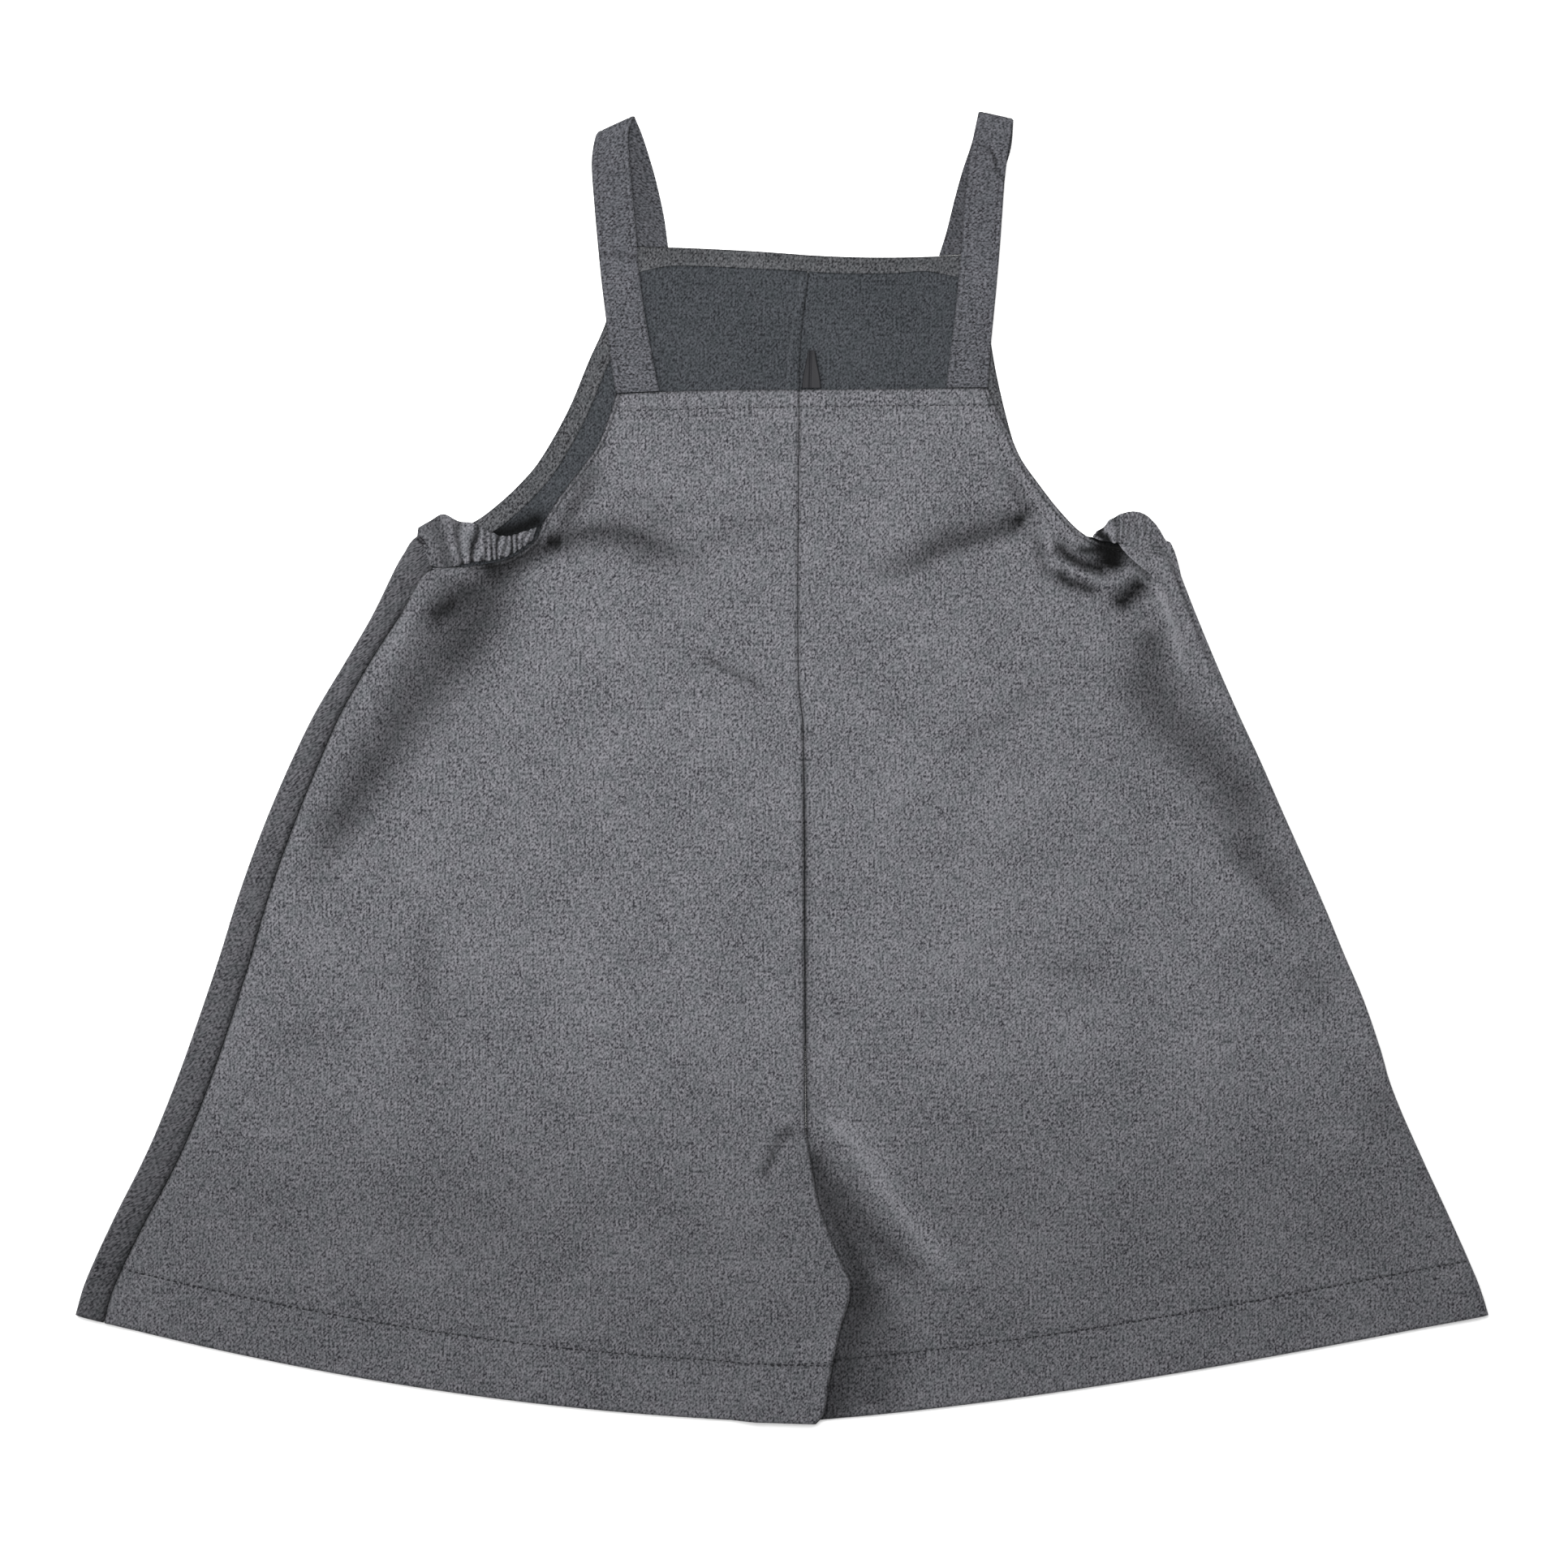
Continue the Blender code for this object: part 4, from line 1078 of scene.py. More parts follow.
@dataclass(frozen=True)
class Cloth:
    """A grid of cloth: its smooth form, its fine relief, and what its finish reads there."""

    x: Array
    y: Array
    z: Array
    across: Array
    grain: Array
    wall: Array | float
    detail: Array | float = 0.0
    # How hard the cloth is pressed; it lightens the colour, partly as worn cloth and partly as a
    # painted sheen
    press: Array | float = 0.0
    # Painted shade below zero and painted highlight above zero on the outer face
    hollow: Array | float = 0.0
    # Painted shade of the inner face
    under: Array | float = 0.0


def make_shell(name: str, cloth: Cloth, finish: bpy.types.Material,
               lining: bpy.types.Material, faces_up: bool = True) -> bpy.types.Object:
    """Make a piece of cloth with a real thickness from a grid.

    The fine relief is on the outer face alone, so the inner face stays clear of what it
    lies on.

    Args:
        name: Name of the piece.
        cloth: Its grid, in millimetres.
        finish: Material of the outer face.
        lining: Material of the inner face.
        faces_up: Whether the first corner of the outer face points up.

    Returns:
        The piece, at the origin, with its place in its mesh.
    """
    rows, columns = cloth.x.shape
    form = np.stack([cloth.x, cloth.y, cloth.z], axis=-1)
    normal = np.cross(np.gradient(form, axis=1), np.gradient(form, axis=0))
    normal /= np.maximum(np.linalg.norm(normal, axis=-1, keepdims=True), 1e-9)
    turned = (normal[0, 0, 2] > 0.0) != faces_up
    if turned:
        normal = -normal
    wall = np.broadcast_to(cloth.wall, cloth.x.shape)[..., None]
    detail = np.maximum(np.broadcast_to(cloth.detail, cloth.x.shape)[..., None], -MOST_SUNK * wall)
    outer = (form + normal * detail).reshape(-1, 3)
    inner = (form - normal * wall).reshape(-1, 3)
    count = rows * columns
    index = np.arange(count).reshape(rows, columns)
    faces = np.stack([index[:-1, :-1], index[:-1, 1:], index[1:, 1:], index[1:, :-1]],
                     axis=-1).reshape(-1, 4)
    if not turned:
        faces = faces[:, ::-1]
    loop = np.concatenate([index[0, :-1], index[:-1, -1], index[-1, :0:-1], index[:0:-1, 0]])
    ahead = np.roll(loop, -1)
    rim = np.stack([ahead, loop, loop + count, ahead + count], axis=-1)
    if not turned:
        rim = rim[:, ::-1]
    corners = np.concatenate([faces, faces[:, ::-1] + count, rim])
    mesh = bpy.data.meshes.new(name)
    mesh.from_pydata((np.concatenate([outer, inner]) * MM).tolist(), [], corners.tolist())
    mesh.polygons.foreach_set("use_smooth", [True] * len(corners))
    sides = np.zeros(len(corners), np.int32)
    sides[len(faces):2 * len(faces)] = 1
    mesh.polygons.foreach_set("material_index", sides)
    place = mesh.attributes.new("cloth", "FLOAT_VECTOR", "POINT")
    spread = np.stack([cloth.across, cloth.grain, np.zeros_like(cloth.grain)], axis=-1)
    place.data.foreach_set("vector", np.tile(spread.astype(np.float32).ravel(), 2))
    # Pressing with its painted sheen, and the painted shading of the outer and inner faces, as
    # point attributes
    for label, over, under in (("press", cloth.press, 0.0),
                               ("hollow", cloth.hollow, cloth.under)):
        held = mesh.attributes.new(label, "FLOAT", "POINT")
        both = [np.broadcast_to(values, cloth.x.shape).ravel() for values in (over, under)]
        held.data.foreach_set("value", np.concatenate(both).astype(np.float32))
    mesh.materials.append(finish)
    mesh.materials.append(lining)
    piece = bpy.data.objects.new(name, mesh)
    bpy.context.scene.collection.objects.link(piece)
    return piece


def close_places(end: float, spots: Sequence[float], step: float,
                 spread: Sequence[float]) -> Array:
    """Space places evenly, and closer at some spots.

    Args:
        end: Last place.
        spots: Where more places are needed.
        step: Even spacing.
        spread: Distances from each spot that get a place.

    Returns:
        The places, rising from 0 to the end.
    """
    places = [np.linspace(0.0, end, max(int(round(end / step)), 1) + 1)]
    for spot in spots:
        places.append(spot + np.asarray(spread))
        places.append(spot - np.asarray(spread))
    merged = np.unique(np.round(np.concatenate(places), 3))
    return merged[(merged >= 0.0) & (merged <= end)]


@dataclass(frozen=True)
class PanelRelief:
    """How far a panel's seams, edges and hems rise or sink."""

    seam_dip: Mark = Mark(0.0, 0.75, 0.62)
    seam_swell: Mark = Mark(3.0, 1.4, 0.16)
    edge_round: Mark = Mark(0.0, 0.5, 0.45)
    piping: Mark = Mark(0.9, 0.4, 0.16)
    edge_groove: Mark = Mark(1.8, 0.5, 0.3)
    side_ridge: Mark = Mark(1.1, 0.8, 0.4)
    side_round: Mark = Mark(0.0, 0.35, 0.5)
    side_dip: Mark = Mark(0.0, 1.3, 0.62)
    hem_groove: Mark = Mark(HEM_DEPTH, 0.8, 0.42)
    hem_pucker: Mark = Mark(HEM_DEPTH, 4.0, 0.1)
    top_groove: Mark = Mark(7.5, 0.7, 0.34)


@dataclass(frozen=True)
class PanelShades:
    """Painted shade on a panel's seams, edges, hems, side strip and outline: how much each darkens
    the cloth's colour.
    """

    seam: Mark = Mark(0.0, 0.95, 0.32)
    seam_below: float = 0.38
    seam_change_y: float = 40.0
    seam_change: float = 70.0
    hem_edge: Mark = Mark(0.0, 1.1, 0.3)
    hem_line: Mark = Mark(HEM_DEPTH, 0.7, 0.2)
    armhole_edge: Mark = Mark(0.0, 0.6, 0.3)
    armhole_groove: float = 0.6
    top_edge: Mark = Mark(0.0, 0.7, 0.45)
    top_line: float = 0.12
    side_seam: Mark = Mark(0.0, 0.8, 0.45)
    side_line: Mark = Mark(4.1, 0.8, 0.55)
    side_line_y: float = 20.0
    side_line_fade: float = 40.0
    outline: Mark = Mark(0.0, 1.0, 0.35)
    strip: float = 0.34
    strip_edge: Mark = Mark(0.0, 1.4, 0.3)
    strip_soft: Mark = Mark(0.0, 6.0, 0.12)
    strip_outline: Mark = Mark(0.0, 1.0, 0.2)
    # Width and strength of the painted shadow in the pit under the casing
    painted_pit_shadow: Mark = Mark(0.0, 5.5, 0.93)
    most: float = 0.9
    darkest: float = -0.985
    lightest: float = 0.5


@dataclass(frozen=True)
class Panel:
    """One half of the back or of the front, with its leg."""

    name: str
    node: str
    side: Side
    face: Face
    top: tuple[Armhole, ...]
    columns: Columns
    flat: tuple[float, float]
    area: float
    rests_on: tuple[str, ...] = ()
    top_steps: int = 6
    body_steps: int = 8
    column_steps: tuple[int, int, int] = (4, 9, 5)
    row_spread: tuple[float, ...] = (0.03, 0.06, 0.1, 0.15, 0.22)
    column_spread: tuple[float, ...] = (0.03, 0.06, 0.1, 0.14, 0.19, 0.27, 0.36)
    side_seam_spread: float = 0.4
    top_seam_row: float = 0.75
    relief: PanelRelief = PanelRelief()
    shades: PanelShades = PanelShades()
    # Path inside the armhole where the inner face gets a painted shadow under the casing
    painted_pit_shadow: Points = ()

    def rows(self) -> list[Armhole]:
        """Rows of the solid, from the top edge to the hem."""
        stretch = OUTLINE[-2].y - HEM_CORNER_Y
        crotch = (BODY_TOP_INNER_Y - CROTCH_Y) / (BODY_TOP_INNER_Y - INSEAM_END_Y)
        eased = 1.0 - (HEM_DEPTH + HEM_EASE) / stretch
        shares = [crotch * step / UPPER_BODY_STEPS for step in range(UPPER_BODY_STEPS)]
        shares += [mix(crotch, eased, step / LEG_STEPS) for step in range(LEG_STEPS + 1)]
        shares += [1.0 - HEM_DEPTH / stretch, 1.0 - HEM_DEPTH / 2.0 / stretch, 1.0]
        rows = list(self.top)
        for share in shares:
            edge_y = mix(OUTLINE[-2].y, HEM_CORNER_Y, share)
            seam = float(FORM.side_seam[self.side].at(edge_y))
            rows.append(Armhole(
                inner_y=mix(BODY_TOP_INNER_Y, INSEAM_END_Y, share),
                edge_x=float(FORM.outline[self.side].at(edge_y)),
                edge_y=edge_y,
                reach=(-seam if self.face is Face.NEAR else seam) - SEAM_GAP / 2.0,
                curl=1.0,
                bow=0.0,
                weight=float(ease(share / FORM.hem_hang_share)),
            ))
        return rows

    def row_places(self, count: int) -> Array:
        """Places of the shell's rows, counted in rows of the solid, closer at seams."""
        top = len(self.top)
        places = [np.linspace(0.0, top, top * self.top_steps + 1),
                  np.linspace(top, count - 1, (count - 1 - top) * self.body_steps + 1)]
        close = np.array(self.row_spread)
        for spot in (0.0, self.top_seam_row, count - 3.0, count - 1.0):
            places.append(spot + close)
            places.append(spot - close)
        merged = np.unique(np.round(np.concatenate(places), 4))
        return merged[(merged >= 0.0) & (merged <= count - 1.0)]

    def column_places(self) -> Array:
        """Places of the shell's columns, counted in columns of the solid, closer at seams."""
        places = []
        start = 0
        for count, steps in zip(self.columns, self.column_steps):
            places.append(np.linspace(start, start + count, count * steps + 1))
            start += count
        close = np.array(self.column_spread)
        places.append(close)
        outer = close if self.columns.fold else close * self.side_seam_spread
        places.append(start - outer)
        return np.unique(np.round(np.concatenate(places), 4))

    def from_outline(self, rows: dict[str, Array], width: Array, column: Array) -> Array:
        """Distance of each column from the outline, below zero past it."""
        inner, middle, fold = self.columns
        total = inner + middle + fold
        step = np.minimum(INNER_STEP, width / total)
        reach, curl = rows["reach"], rows["curl"]
        round_knee = np.maximum(FOLD_QUARTER, fold - reach) if fold else -reach
        knee = mix(width * fold / total, round_knee, curl)
        near_centre = width - step * column
        across = mix(width - step * inner, knee, (column - inner) / middle)
        if not fold:
            return np.where(column <= inner, near_centre, across)
        past = column - inner - middle
        arc_end = -np.minimum(reach * ARC_SHARE, FOLD_QUARTER)
        inside = mix(knee, -reach, past / fold)
        bend = mix(knee, arc_end, past / ARC_COLUMNS)
        beyond = mix(arc_end, -reach, (past - ARC_COLUMNS) / max(fold - ARC_COLUMNS, 1))
        outer = np.where(reach <= 0.0, inside, np.where(past <= ARC_COLUMNS, bend, beyond))
        return np.where(column <= inner, near_centre, np.where(past <= 0.0, across, outer))

    def cloth(self) -> Cloth:
        """Lay the panel's grid on the garment's form.

        Returns:
            The grid.
        """
        solid_rows = self.rows()
        keys = range(len(solid_rows))
        places = self.row_places(len(solid_rows))
        rows = {name: Curve(keys, [getattr(row, name) for row in solid_rows], True).at(places)
                for name in Armhole._fields}
        rows["curl"] = np.clip(rows["curl"], 0.0, 1.0)
        rows = {name: values[:, None] for name, values in rows.items()}
        column = self.column_places()[None, :]
        side, near = self.side.value, self.face is Face.NEAR
        inner_x = FORM.centre_x(self.side, self.face, rows["inner_y"])
        width = np.abs(rows["edge_x"] - inner_x) + (FOLD_QUARTER - FOLD_DEPTH) * rows["curl"]
        place = self.from_outline(rows, width, column)
        angle = np.minimum(np.abs(place) / FOLD_QUARTER, 1.0) * math.pi / 2.0
        bent = FOLD_DEPTH * (1.0 - np.cos(angle)) + np.maximum(np.abs(place) - FOLD_QUARTER, 0)
        x = rows["edge_x"] - side * mix(place, bent, rows["curl"])
        across = (x - rows["edge_x"]) / (inner_x - rows["edge_x"])
        hang = rows["bow"] * 4.0 * across * (1.0 - across)
        hang = hang + rows["weight"] * FORM.hem_bow(self.side, np.clip(across, 0.0, 1.0))
        y = mix(rows["edge_y"], rows["inner_y"], across) - hang
        turn = np.copysign(np.sin(angle), place) * (1.0 if near else -1.0)
        raised = mix(1.0 if near else 0.0, (1.0 + turn) / 2.0, rows["curl"])
        relief = FORM.relief(self.side, x, y)
        z = mix(FORM.far_level(self.side, x, y), FORM.near_level(self.side, x, y, relief),
                raised)
        detail, press, dark = self.details(x, y, width - place, place + rows["reach"], place,
                                           places)
        visible = ease(raised * 2.0 - 1.0)
        shades = self.shades
        # Painted shade: the folds' painted shade and highlight, darkened by the painted shade of
        # the seams, grooves and edges
        shade = (1.0 + FORM.shade(self.side, x, y)) * (1.0 - np.clip(dark, 0.0, shades.most))
        # Painted shadow on the inner face along the pit under the casing
        painted_pit_shadow = follow(smooth_path(self.painted_pit_shadow), x, y).gap if self.painted_pit_shadow else np.inf
        return Cloth(x, y, z, rows["edge_x"] - side * place, y,
                     FORM.wall_at(self.side, x, y), detail * visible, press * visible,
                     np.clip(shade - 1.0, shades.darkest, shades.lightest) * visible,
                     -shades.painted_pit_shadow.at(painted_pit_shadow))

    def details(self, x: Array, y: Array, from_centre: Array, from_edge: Array,
                from_outline: Array, places: Array) -> tuple[Array, Array, Array]:
        """Work out the small relief of the seams, hems and edges, and their painted shade.

        Args:
            x: First coordinate of each point.
            y: Second coordinate of each point.
            from_centre: Distance from the inner edge.
            from_edge: Distance from the outer edge.
            from_outline: Distance from the side of the garment.
            places: Place of each row.

        Returns:
            Height to add, how hard the cloth is pressed (which also paints a sheen), and how much
            painted shade darkens its seams, grooves, edges and side strip.
        """
        relief, shades = self.relief, self.shades
        hem = y - FORM.hem_y(self.side, x)
        pucker = np.sin(x * 1.1 + 2.0 * np.sin(x * 0.17))
        detail = (relief.seam_swell.at(from_centre) - relief.seam_dip.at(from_centre)
                  - relief.edge_round.at(hem) - relief.hem_groove.at(hem)
                  + pucker * relief.hem_pucker.at(hem))
        lower = ease((shades.seam_change_y - y) / shades.seam_change)
        dark = (shades.seam.at(from_centre)
                + shades.seam_below * lower * shades.seam.shape(from_centre)
                + shades.hem_edge.at(hem) + shades.hem_line.at(hem))
        above = ease(len(self.top) - places)[:, None]
        outer = np.stack([x[:, -1], y[:, -1]], axis=1)
        armhole = follow(outer[places < len(self.top) - 1.0], x, y).gap
        detail = detail + above * (relief.piping.at(armhole) - relief.edge_round.at(armhole)
                                   - relief.edge_groove.at(armhole))
        dark = dark + above * (shades.armhole_edge.at(armhole)
                               + shades.armhole_groove * relief.edge_groove.shape(armhole))
        below = (1.0 - above) if self.columns.fold == 0 or self.face is Face.FAR else 0.0
        press = np.maximum(relief.seam_dip.shape(from_centre), relief.edge_round.shape(hem))
        if self.face is Face.FAR:
            detail = detail - below * relief.side_dip.at(from_edge)
            dark = (dark + shades.strip + shades.strip_edge.at(from_edge)
                    + shades.strip_soft.at(from_edge) + shades.strip_outline.at(from_outline))
            return detail, press, dark
        detail = detail + below * (relief.side_ridge.at(from_edge)
                                   - relief.side_round.at(from_edge))
        top_gap = follow(np.stack([x[0], y[0]], axis=1), x, y).gap
        detail = detail - relief.edge_round.at(top_gap) - relief.top_groove.at(top_gap)
        press = np.maximum.reduce([press, above * relief.piping.shape(armhole),
                                   below * relief.side_ridge.shape(from_edge)])
        dark = (dark + shades.top_edge.at(top_gap)
                + shades.top_line * relief.top_groove.shape(top_gap))
        if self.columns.fold:
            seamed = ease((y - shades.side_line_y) / shades.side_line_fade) * (1.0 - above)
            dark = dark + shades.side_line.at(from_outline) * seamed
            dark = dark + shades.outline.at(from_outline)
        else:
            dark = dark + shades.side_seam.at(from_edge)
        return detail, press, dark

    def build(self, finishes: "Finishes") -> bpy.types.Object:
        """Make the panel.

        Args:
            finishes: The garment's finishes.

        Returns:
            The piece.
        """
        return make_shell(self.name, self.cloth(), finishes.outside, finishes.inside,
                          self.face is Face.NEAR)


PANELS = (
    Panel("front_left_cloth", "front_left", Side.LEFT, Face.FAR, FRONT_LEFT_TOP,
          Columns(7, 4, 5), (0.342, 0.522), 0.113, ("floor", "front_right_cloth"),
          body_steps=7, column_steps=(3, 9, 9),
          painted_pit_shadow=((-109.0, 109.0), (-119.0, 105.0), (-131.0, 103.0))),
    Panel("front_right_cloth", "front_right", Side.RIGHT, Face.FAR, FRONT_RIGHT_TOP,
          Columns(7, 4, 3), (0.307, 0.519), 0.095, ("floor",),
          body_steps=5, column_steps=(3, 9, 8),
          painted_pit_shadow=((136.0, 101.0), (150.0, 99.0))),
    Panel("back_left_cloth", "back_left", Side.LEFT, Face.NEAR, BACK_LEFT_TOP,
          Columns(7, 10, 0), (0.329, 0.458), 0.097, ("front_left_cloth",)),
    Panel("back_right_cloth", "back_right", Side.RIGHT, Face.NEAR, BACK_RIGHT_TOP,
          Columns(7, 9, 5), (0.322, 0.459), 0.098, ("front_right_cloth",)),
)


def path_curves(points: Points) -> tuple[Curve, Curve, float]:
    """Smooth line through some points, by distance along them.

    Args:
        points: The points, in order.

    Returns:
        The line's two coordinates by distance, and its length.
    """
    given = np.asarray(points, float)
    walked = np.concatenate([[0.0], np.cumsum(np.hypot(*np.diff(given, axis=0).T))])
    return Curve(walked, given[:, 0]), Curve(walked, given[:, 1]), float(walked[-1])


@dataclass(frozen=True)
class Strap:
    """A shoulder strap, turned and stitched, and folded over at its top."""

    name: str
    node: str
    near: tuple[Station, ...]
    tip: Station
    far: tuple[Station, ...]
    flat: tuple[float, float]
    creases: tuple[Fold, ...] = ()
    step: float = 1.3
    columns: int = 30
    edge_round: Mark = Mark(0.0, 0.55, 0.5)
    edge_swell: Mark = Mark(1.3, 0.7, 0.12)
    edge_press_and_sheen: Mark = Mark(1.0, 0.8, 0.5)
    # Painted shade along the edges and in the stitch grooves
    edge_shade: Mark = Mark(0.0, 0.6, 0.3)
    stitch_groove: Mark = Mark(2.5, 0.55, 0.22)
    stitch_shade: Mark = Mark(2.5, 0.5, 0.12)
    ripple: Mark = Mark(5.0, 5.0, 0.1)
    tip_lead: float = 2.0
    tip_rows: int = 18
    # Painted shade of the far run, which lies in the near run's shade, on its outer and inner
    # faces
    far_shade: float = 0.28
    far_fade: float = 3.0

    def sections(self) -> list[tuple[float, ...]]:
        """Cross lines with their heights, from the back over the fold to the front."""
        bend = STRAP_TOP / 2.0
        found = [(*station, STRAP_TOP) for station in self.near]
        for degrees in STRAP_FOLD_ANGLES:
            angle = math.radians(degrees)
            beside = self.near[-1] if degrees > 0.0 else self.far[0]
            back = bend * (1.0 - math.cos(angle))
            points = []
            for tip_x, tip_y, x, y in ((*self.tip[:2], *beside[:2]),
                                       (*self.tip[2:], *beside[2:])):
                run = math.hypot(x - tip_x, y - tip_y)
                points += [mix(tip_x, x, back / run), mix(tip_y, y, back / run)]
            found.append((*points, bend + bend * math.sin(angle)))
        return found + [(*station, 0.0) for station in self.far]

    def cloth(self) -> Cloth:
        """Lay the strap's grid.

        Returns:
            The grid.
        """
        table = np.asarray(self.sections())
        middle = np.stack([table[:, 0] + table[:, 2], table[:, 1] + table[:, 3],
                           2.0 * table[:, 4]], axis=1) / 2.0
        walked = np.concatenate([[0.0],
                                 np.cumsum(np.linalg.norm(np.diff(middle, axis=0), axis=1))])
        tip = walked[len(self.near):len(self.near) + len(STRAP_FOLD_ANGLES)]
        along = np.unique(np.concatenate([np.arange(0.0, walked[-1], self.step),
                                          np.linspace(tip[0] - self.tip_lead,
                                                      tip[-1] + self.tip_lead, self.tip_rows),
                                          [walked[-1]]]))
        left_x, left_y, right_x, right_y, z = (
            Curve(walked, table[:, index]).at(along)[:, None] for index in range(5))
        share = close_places(1.0, (0.0, 1.0), 1.0 / self.columns, (0.01, 0.022))[None, :]
        x = mix(left_x, right_x, share)
        y = mix(left_y, right_y, share)
        width = np.hypot(right_x - left_x, right_y - left_y)
        edge = width * np.minimum(share, 1.0 - share)
        run = along[:, None] + 0.0 * share
        ripple = np.sin(run * 0.31 + 3.0 * share)
        detail = (self.edge_swell.at(edge) - self.edge_round.at(edge)
                  - self.stitch_groove.at(edge) + ripple * self.ripple.at(edge))
        near = ease((tip[len(tip) // 2] - run) / self.far_fade)
        detail = mix(np.minimum(detail, 0.0), detail, near)
        # Painted shade of the far run, the edges, the stitch grooves and the creases
        hollow = (1.0 - self.far_shade * (1.0 - near)) * (1.0 - self.edge_shade.at(edge)) - 1.0
        hollow = hollow - self.stitch_shade.at(edge)
        for crease in self.creases:
            strength = crease.at(Side.LEFT, x, y) * near
            detail = detail + crease.height * strength
            hollow = hollow + crease.shade * strength
        return Cloth(x, y, z + 0.0 * share, run, width * share, STRAP_WALL, detail,
                     self.edge_press_and_sheen.at(edge), hollow, -self.far_shade)

    def build(self, finishes: "Finishes") -> bpy.types.Object:
        """Make the strap.

        Args:
            finishes: The garment's finishes.

        Returns:
            The piece.
        """
        return make_shell(self.name, self.cloth(), finishes.strap, finishes.strap)

    def stitch_path(self, inset: float, from_left: bool) -> Array:
        """Points along the near part of the strap, some way in from one edge."""
        points = []
        for station in self.near:
            width = math.hypot(station.right_x - station.left_x,
                               station.right_y - station.left_y)
            share = inset / width if from_left else 1.0 - inset / width
            points.append((mix(station.left_x, station.right_x, share),
                           mix(station.left_y, station.right_y, share)))
        return smooth_path(points, 6)


STRAPS = (
    Strap("strap_left_cloth", "strap_left", LEFT_STRAP_NEAR, LEFT_STRAP_TIP, LEFT_STRAP_FAR,
          (0.018, 0.178), (
              Fold(((-84.0, 226.6), (-74.0, 227.2), (-62.0, 226.0)), 1.3, -0.6, -0.3, 2.0, 2.0),
              Fold(((-81.0, 262.0), (-72.0, 264.0), (-66.0, 262.0)), 2.2, -0.35, -0.1, 3.0,
                   3.0),
          )),
    Strap("strap_right_cloth", "strap_right", RIGHT_STRAP_NEAR, RIGHT_STRAP_TIP,
          RIGHT_STRAP_FAR, (0.018, 0.188), (
              Fold(((90.3, 275.5), (93.1, 272.5), (94.3, 269.6), (94.9, 266.0),
                    (97.0, 262.8), (98.8, 259.2), (102.0, 254.0)), 0.8, -0.9, -0.5, 1.0, 3.0),
              Fold(((78.0, 280.5), (84.0, 279.5), (90.3, 275.5)), 1.4, -0.3, -0.15, 3.0, 3.0),
          )),
)


def front_top_y(x: Array) -> Array:
    """Top edge of the front panels."""
    split = FORM.centre_x(Side.LEFT, Face.FAR, FRONT_LEFT_TOP[0].inner_y)
    left, right = FRONT_LEFT_TOP[0], FRONT_RIGHT_TOP[0]
    edge_x = np.where(x < split, left.edge_x, right.edge_x)
    edge_y = np.where(x < split, left.edge_y, right.edge_y)
    inner_y = np.where(x < split, left.inner_y, right.inner_y)
    bow = np.where(x < split, left.bow, right.bow)
    across = (x - edge_x) / (split - edge_x)
    return mix(edge_y, inner_y, across) - bow * 4.0 * across * (1.0 - across)


@dataclass(frozen=True)
class NeckFacing:
    """The facing along the top edge of the front, on its inner face."""

    name: str = "neck_facing_cloth"
    node: str = "front_neck_facing"
    flat: tuple[float, float] = (0.151, 0.0149)
    area: float = 0.00155
    lift: float = 0.7
    lift_from: float = 0.55
    wall: float = 0.9
    edge_round: Mark = Mark(0.0, 0.5, 0.4)
    # Painted shade along the stitched edge and in its stitch groove
    edge_shade: Mark = Mark(0.0, 0.7, 0.35)
    stitch_groove: Mark = Mark(2.4, 0.5, 0.18)
    stitch_shade: Mark = Mark(2.4, 0.5, 0.2)
    free_round: Mark = Mark(0.0, 0.4, 0.35)
    free_press_and_sheen: Mark = Mark(0.0, 1.2, 0.6)
    ripple: float = 0.08

    def cloth(self) -> Cloth:
        """Lay the facing's grid.

        Returns:
            The grid.
        """
        lower = Curve([row.y for row in NECK_FACING_LOWER], [row.x for row in NECK_FACING_LOWER])
        start, end = NECK_FACING_LOWER[0].y, NECK_FACING_LOWER[-1].y
        x = np.linspace(start, end, 150)[None, :]
        share = close_places(1.0, (0.0, 1.0), 0.06, (0.02, 0.04))[:, None]
        top = front_top_y(x) - FACING_INSET
        y = mix(top, lower.at(x), share)
        down = (top - lower.at(x)) * share
        free = (top - lower.at(x)) * (1.0 - share)
        wave = 0.75 + 0.25 * np.sin(x * 0.21 + 1.0)
        raised = ease((share - self.lift_from) / (1.0 - self.lift_from))
        z = FACING_LEVEL + self.lift * wave * raised
        detail = (self.ripple * np.sin(x * 0.47 + y * 0.3) - self.edge_round.at(down)
                  - self.free_round.at(free) - self.stitch_groove.at(down))
        full = x + 0.0 * y
        return Cloth(full, y, z, full, y, self.wall, detail, self.free_press_and_sheen.at(free),
                     -self.edge_shade.at(down) - self.stitch_shade.at(down))

    def build(self, finishes: "Finishes") -> bpy.types.Object:
        """Make the facing.

        Args:
            finishes: The garment's finishes.

        Returns:
            The piece.
        """
        return make_shell(self.name, self.cloth(), finishes.facing, finishes.inside)


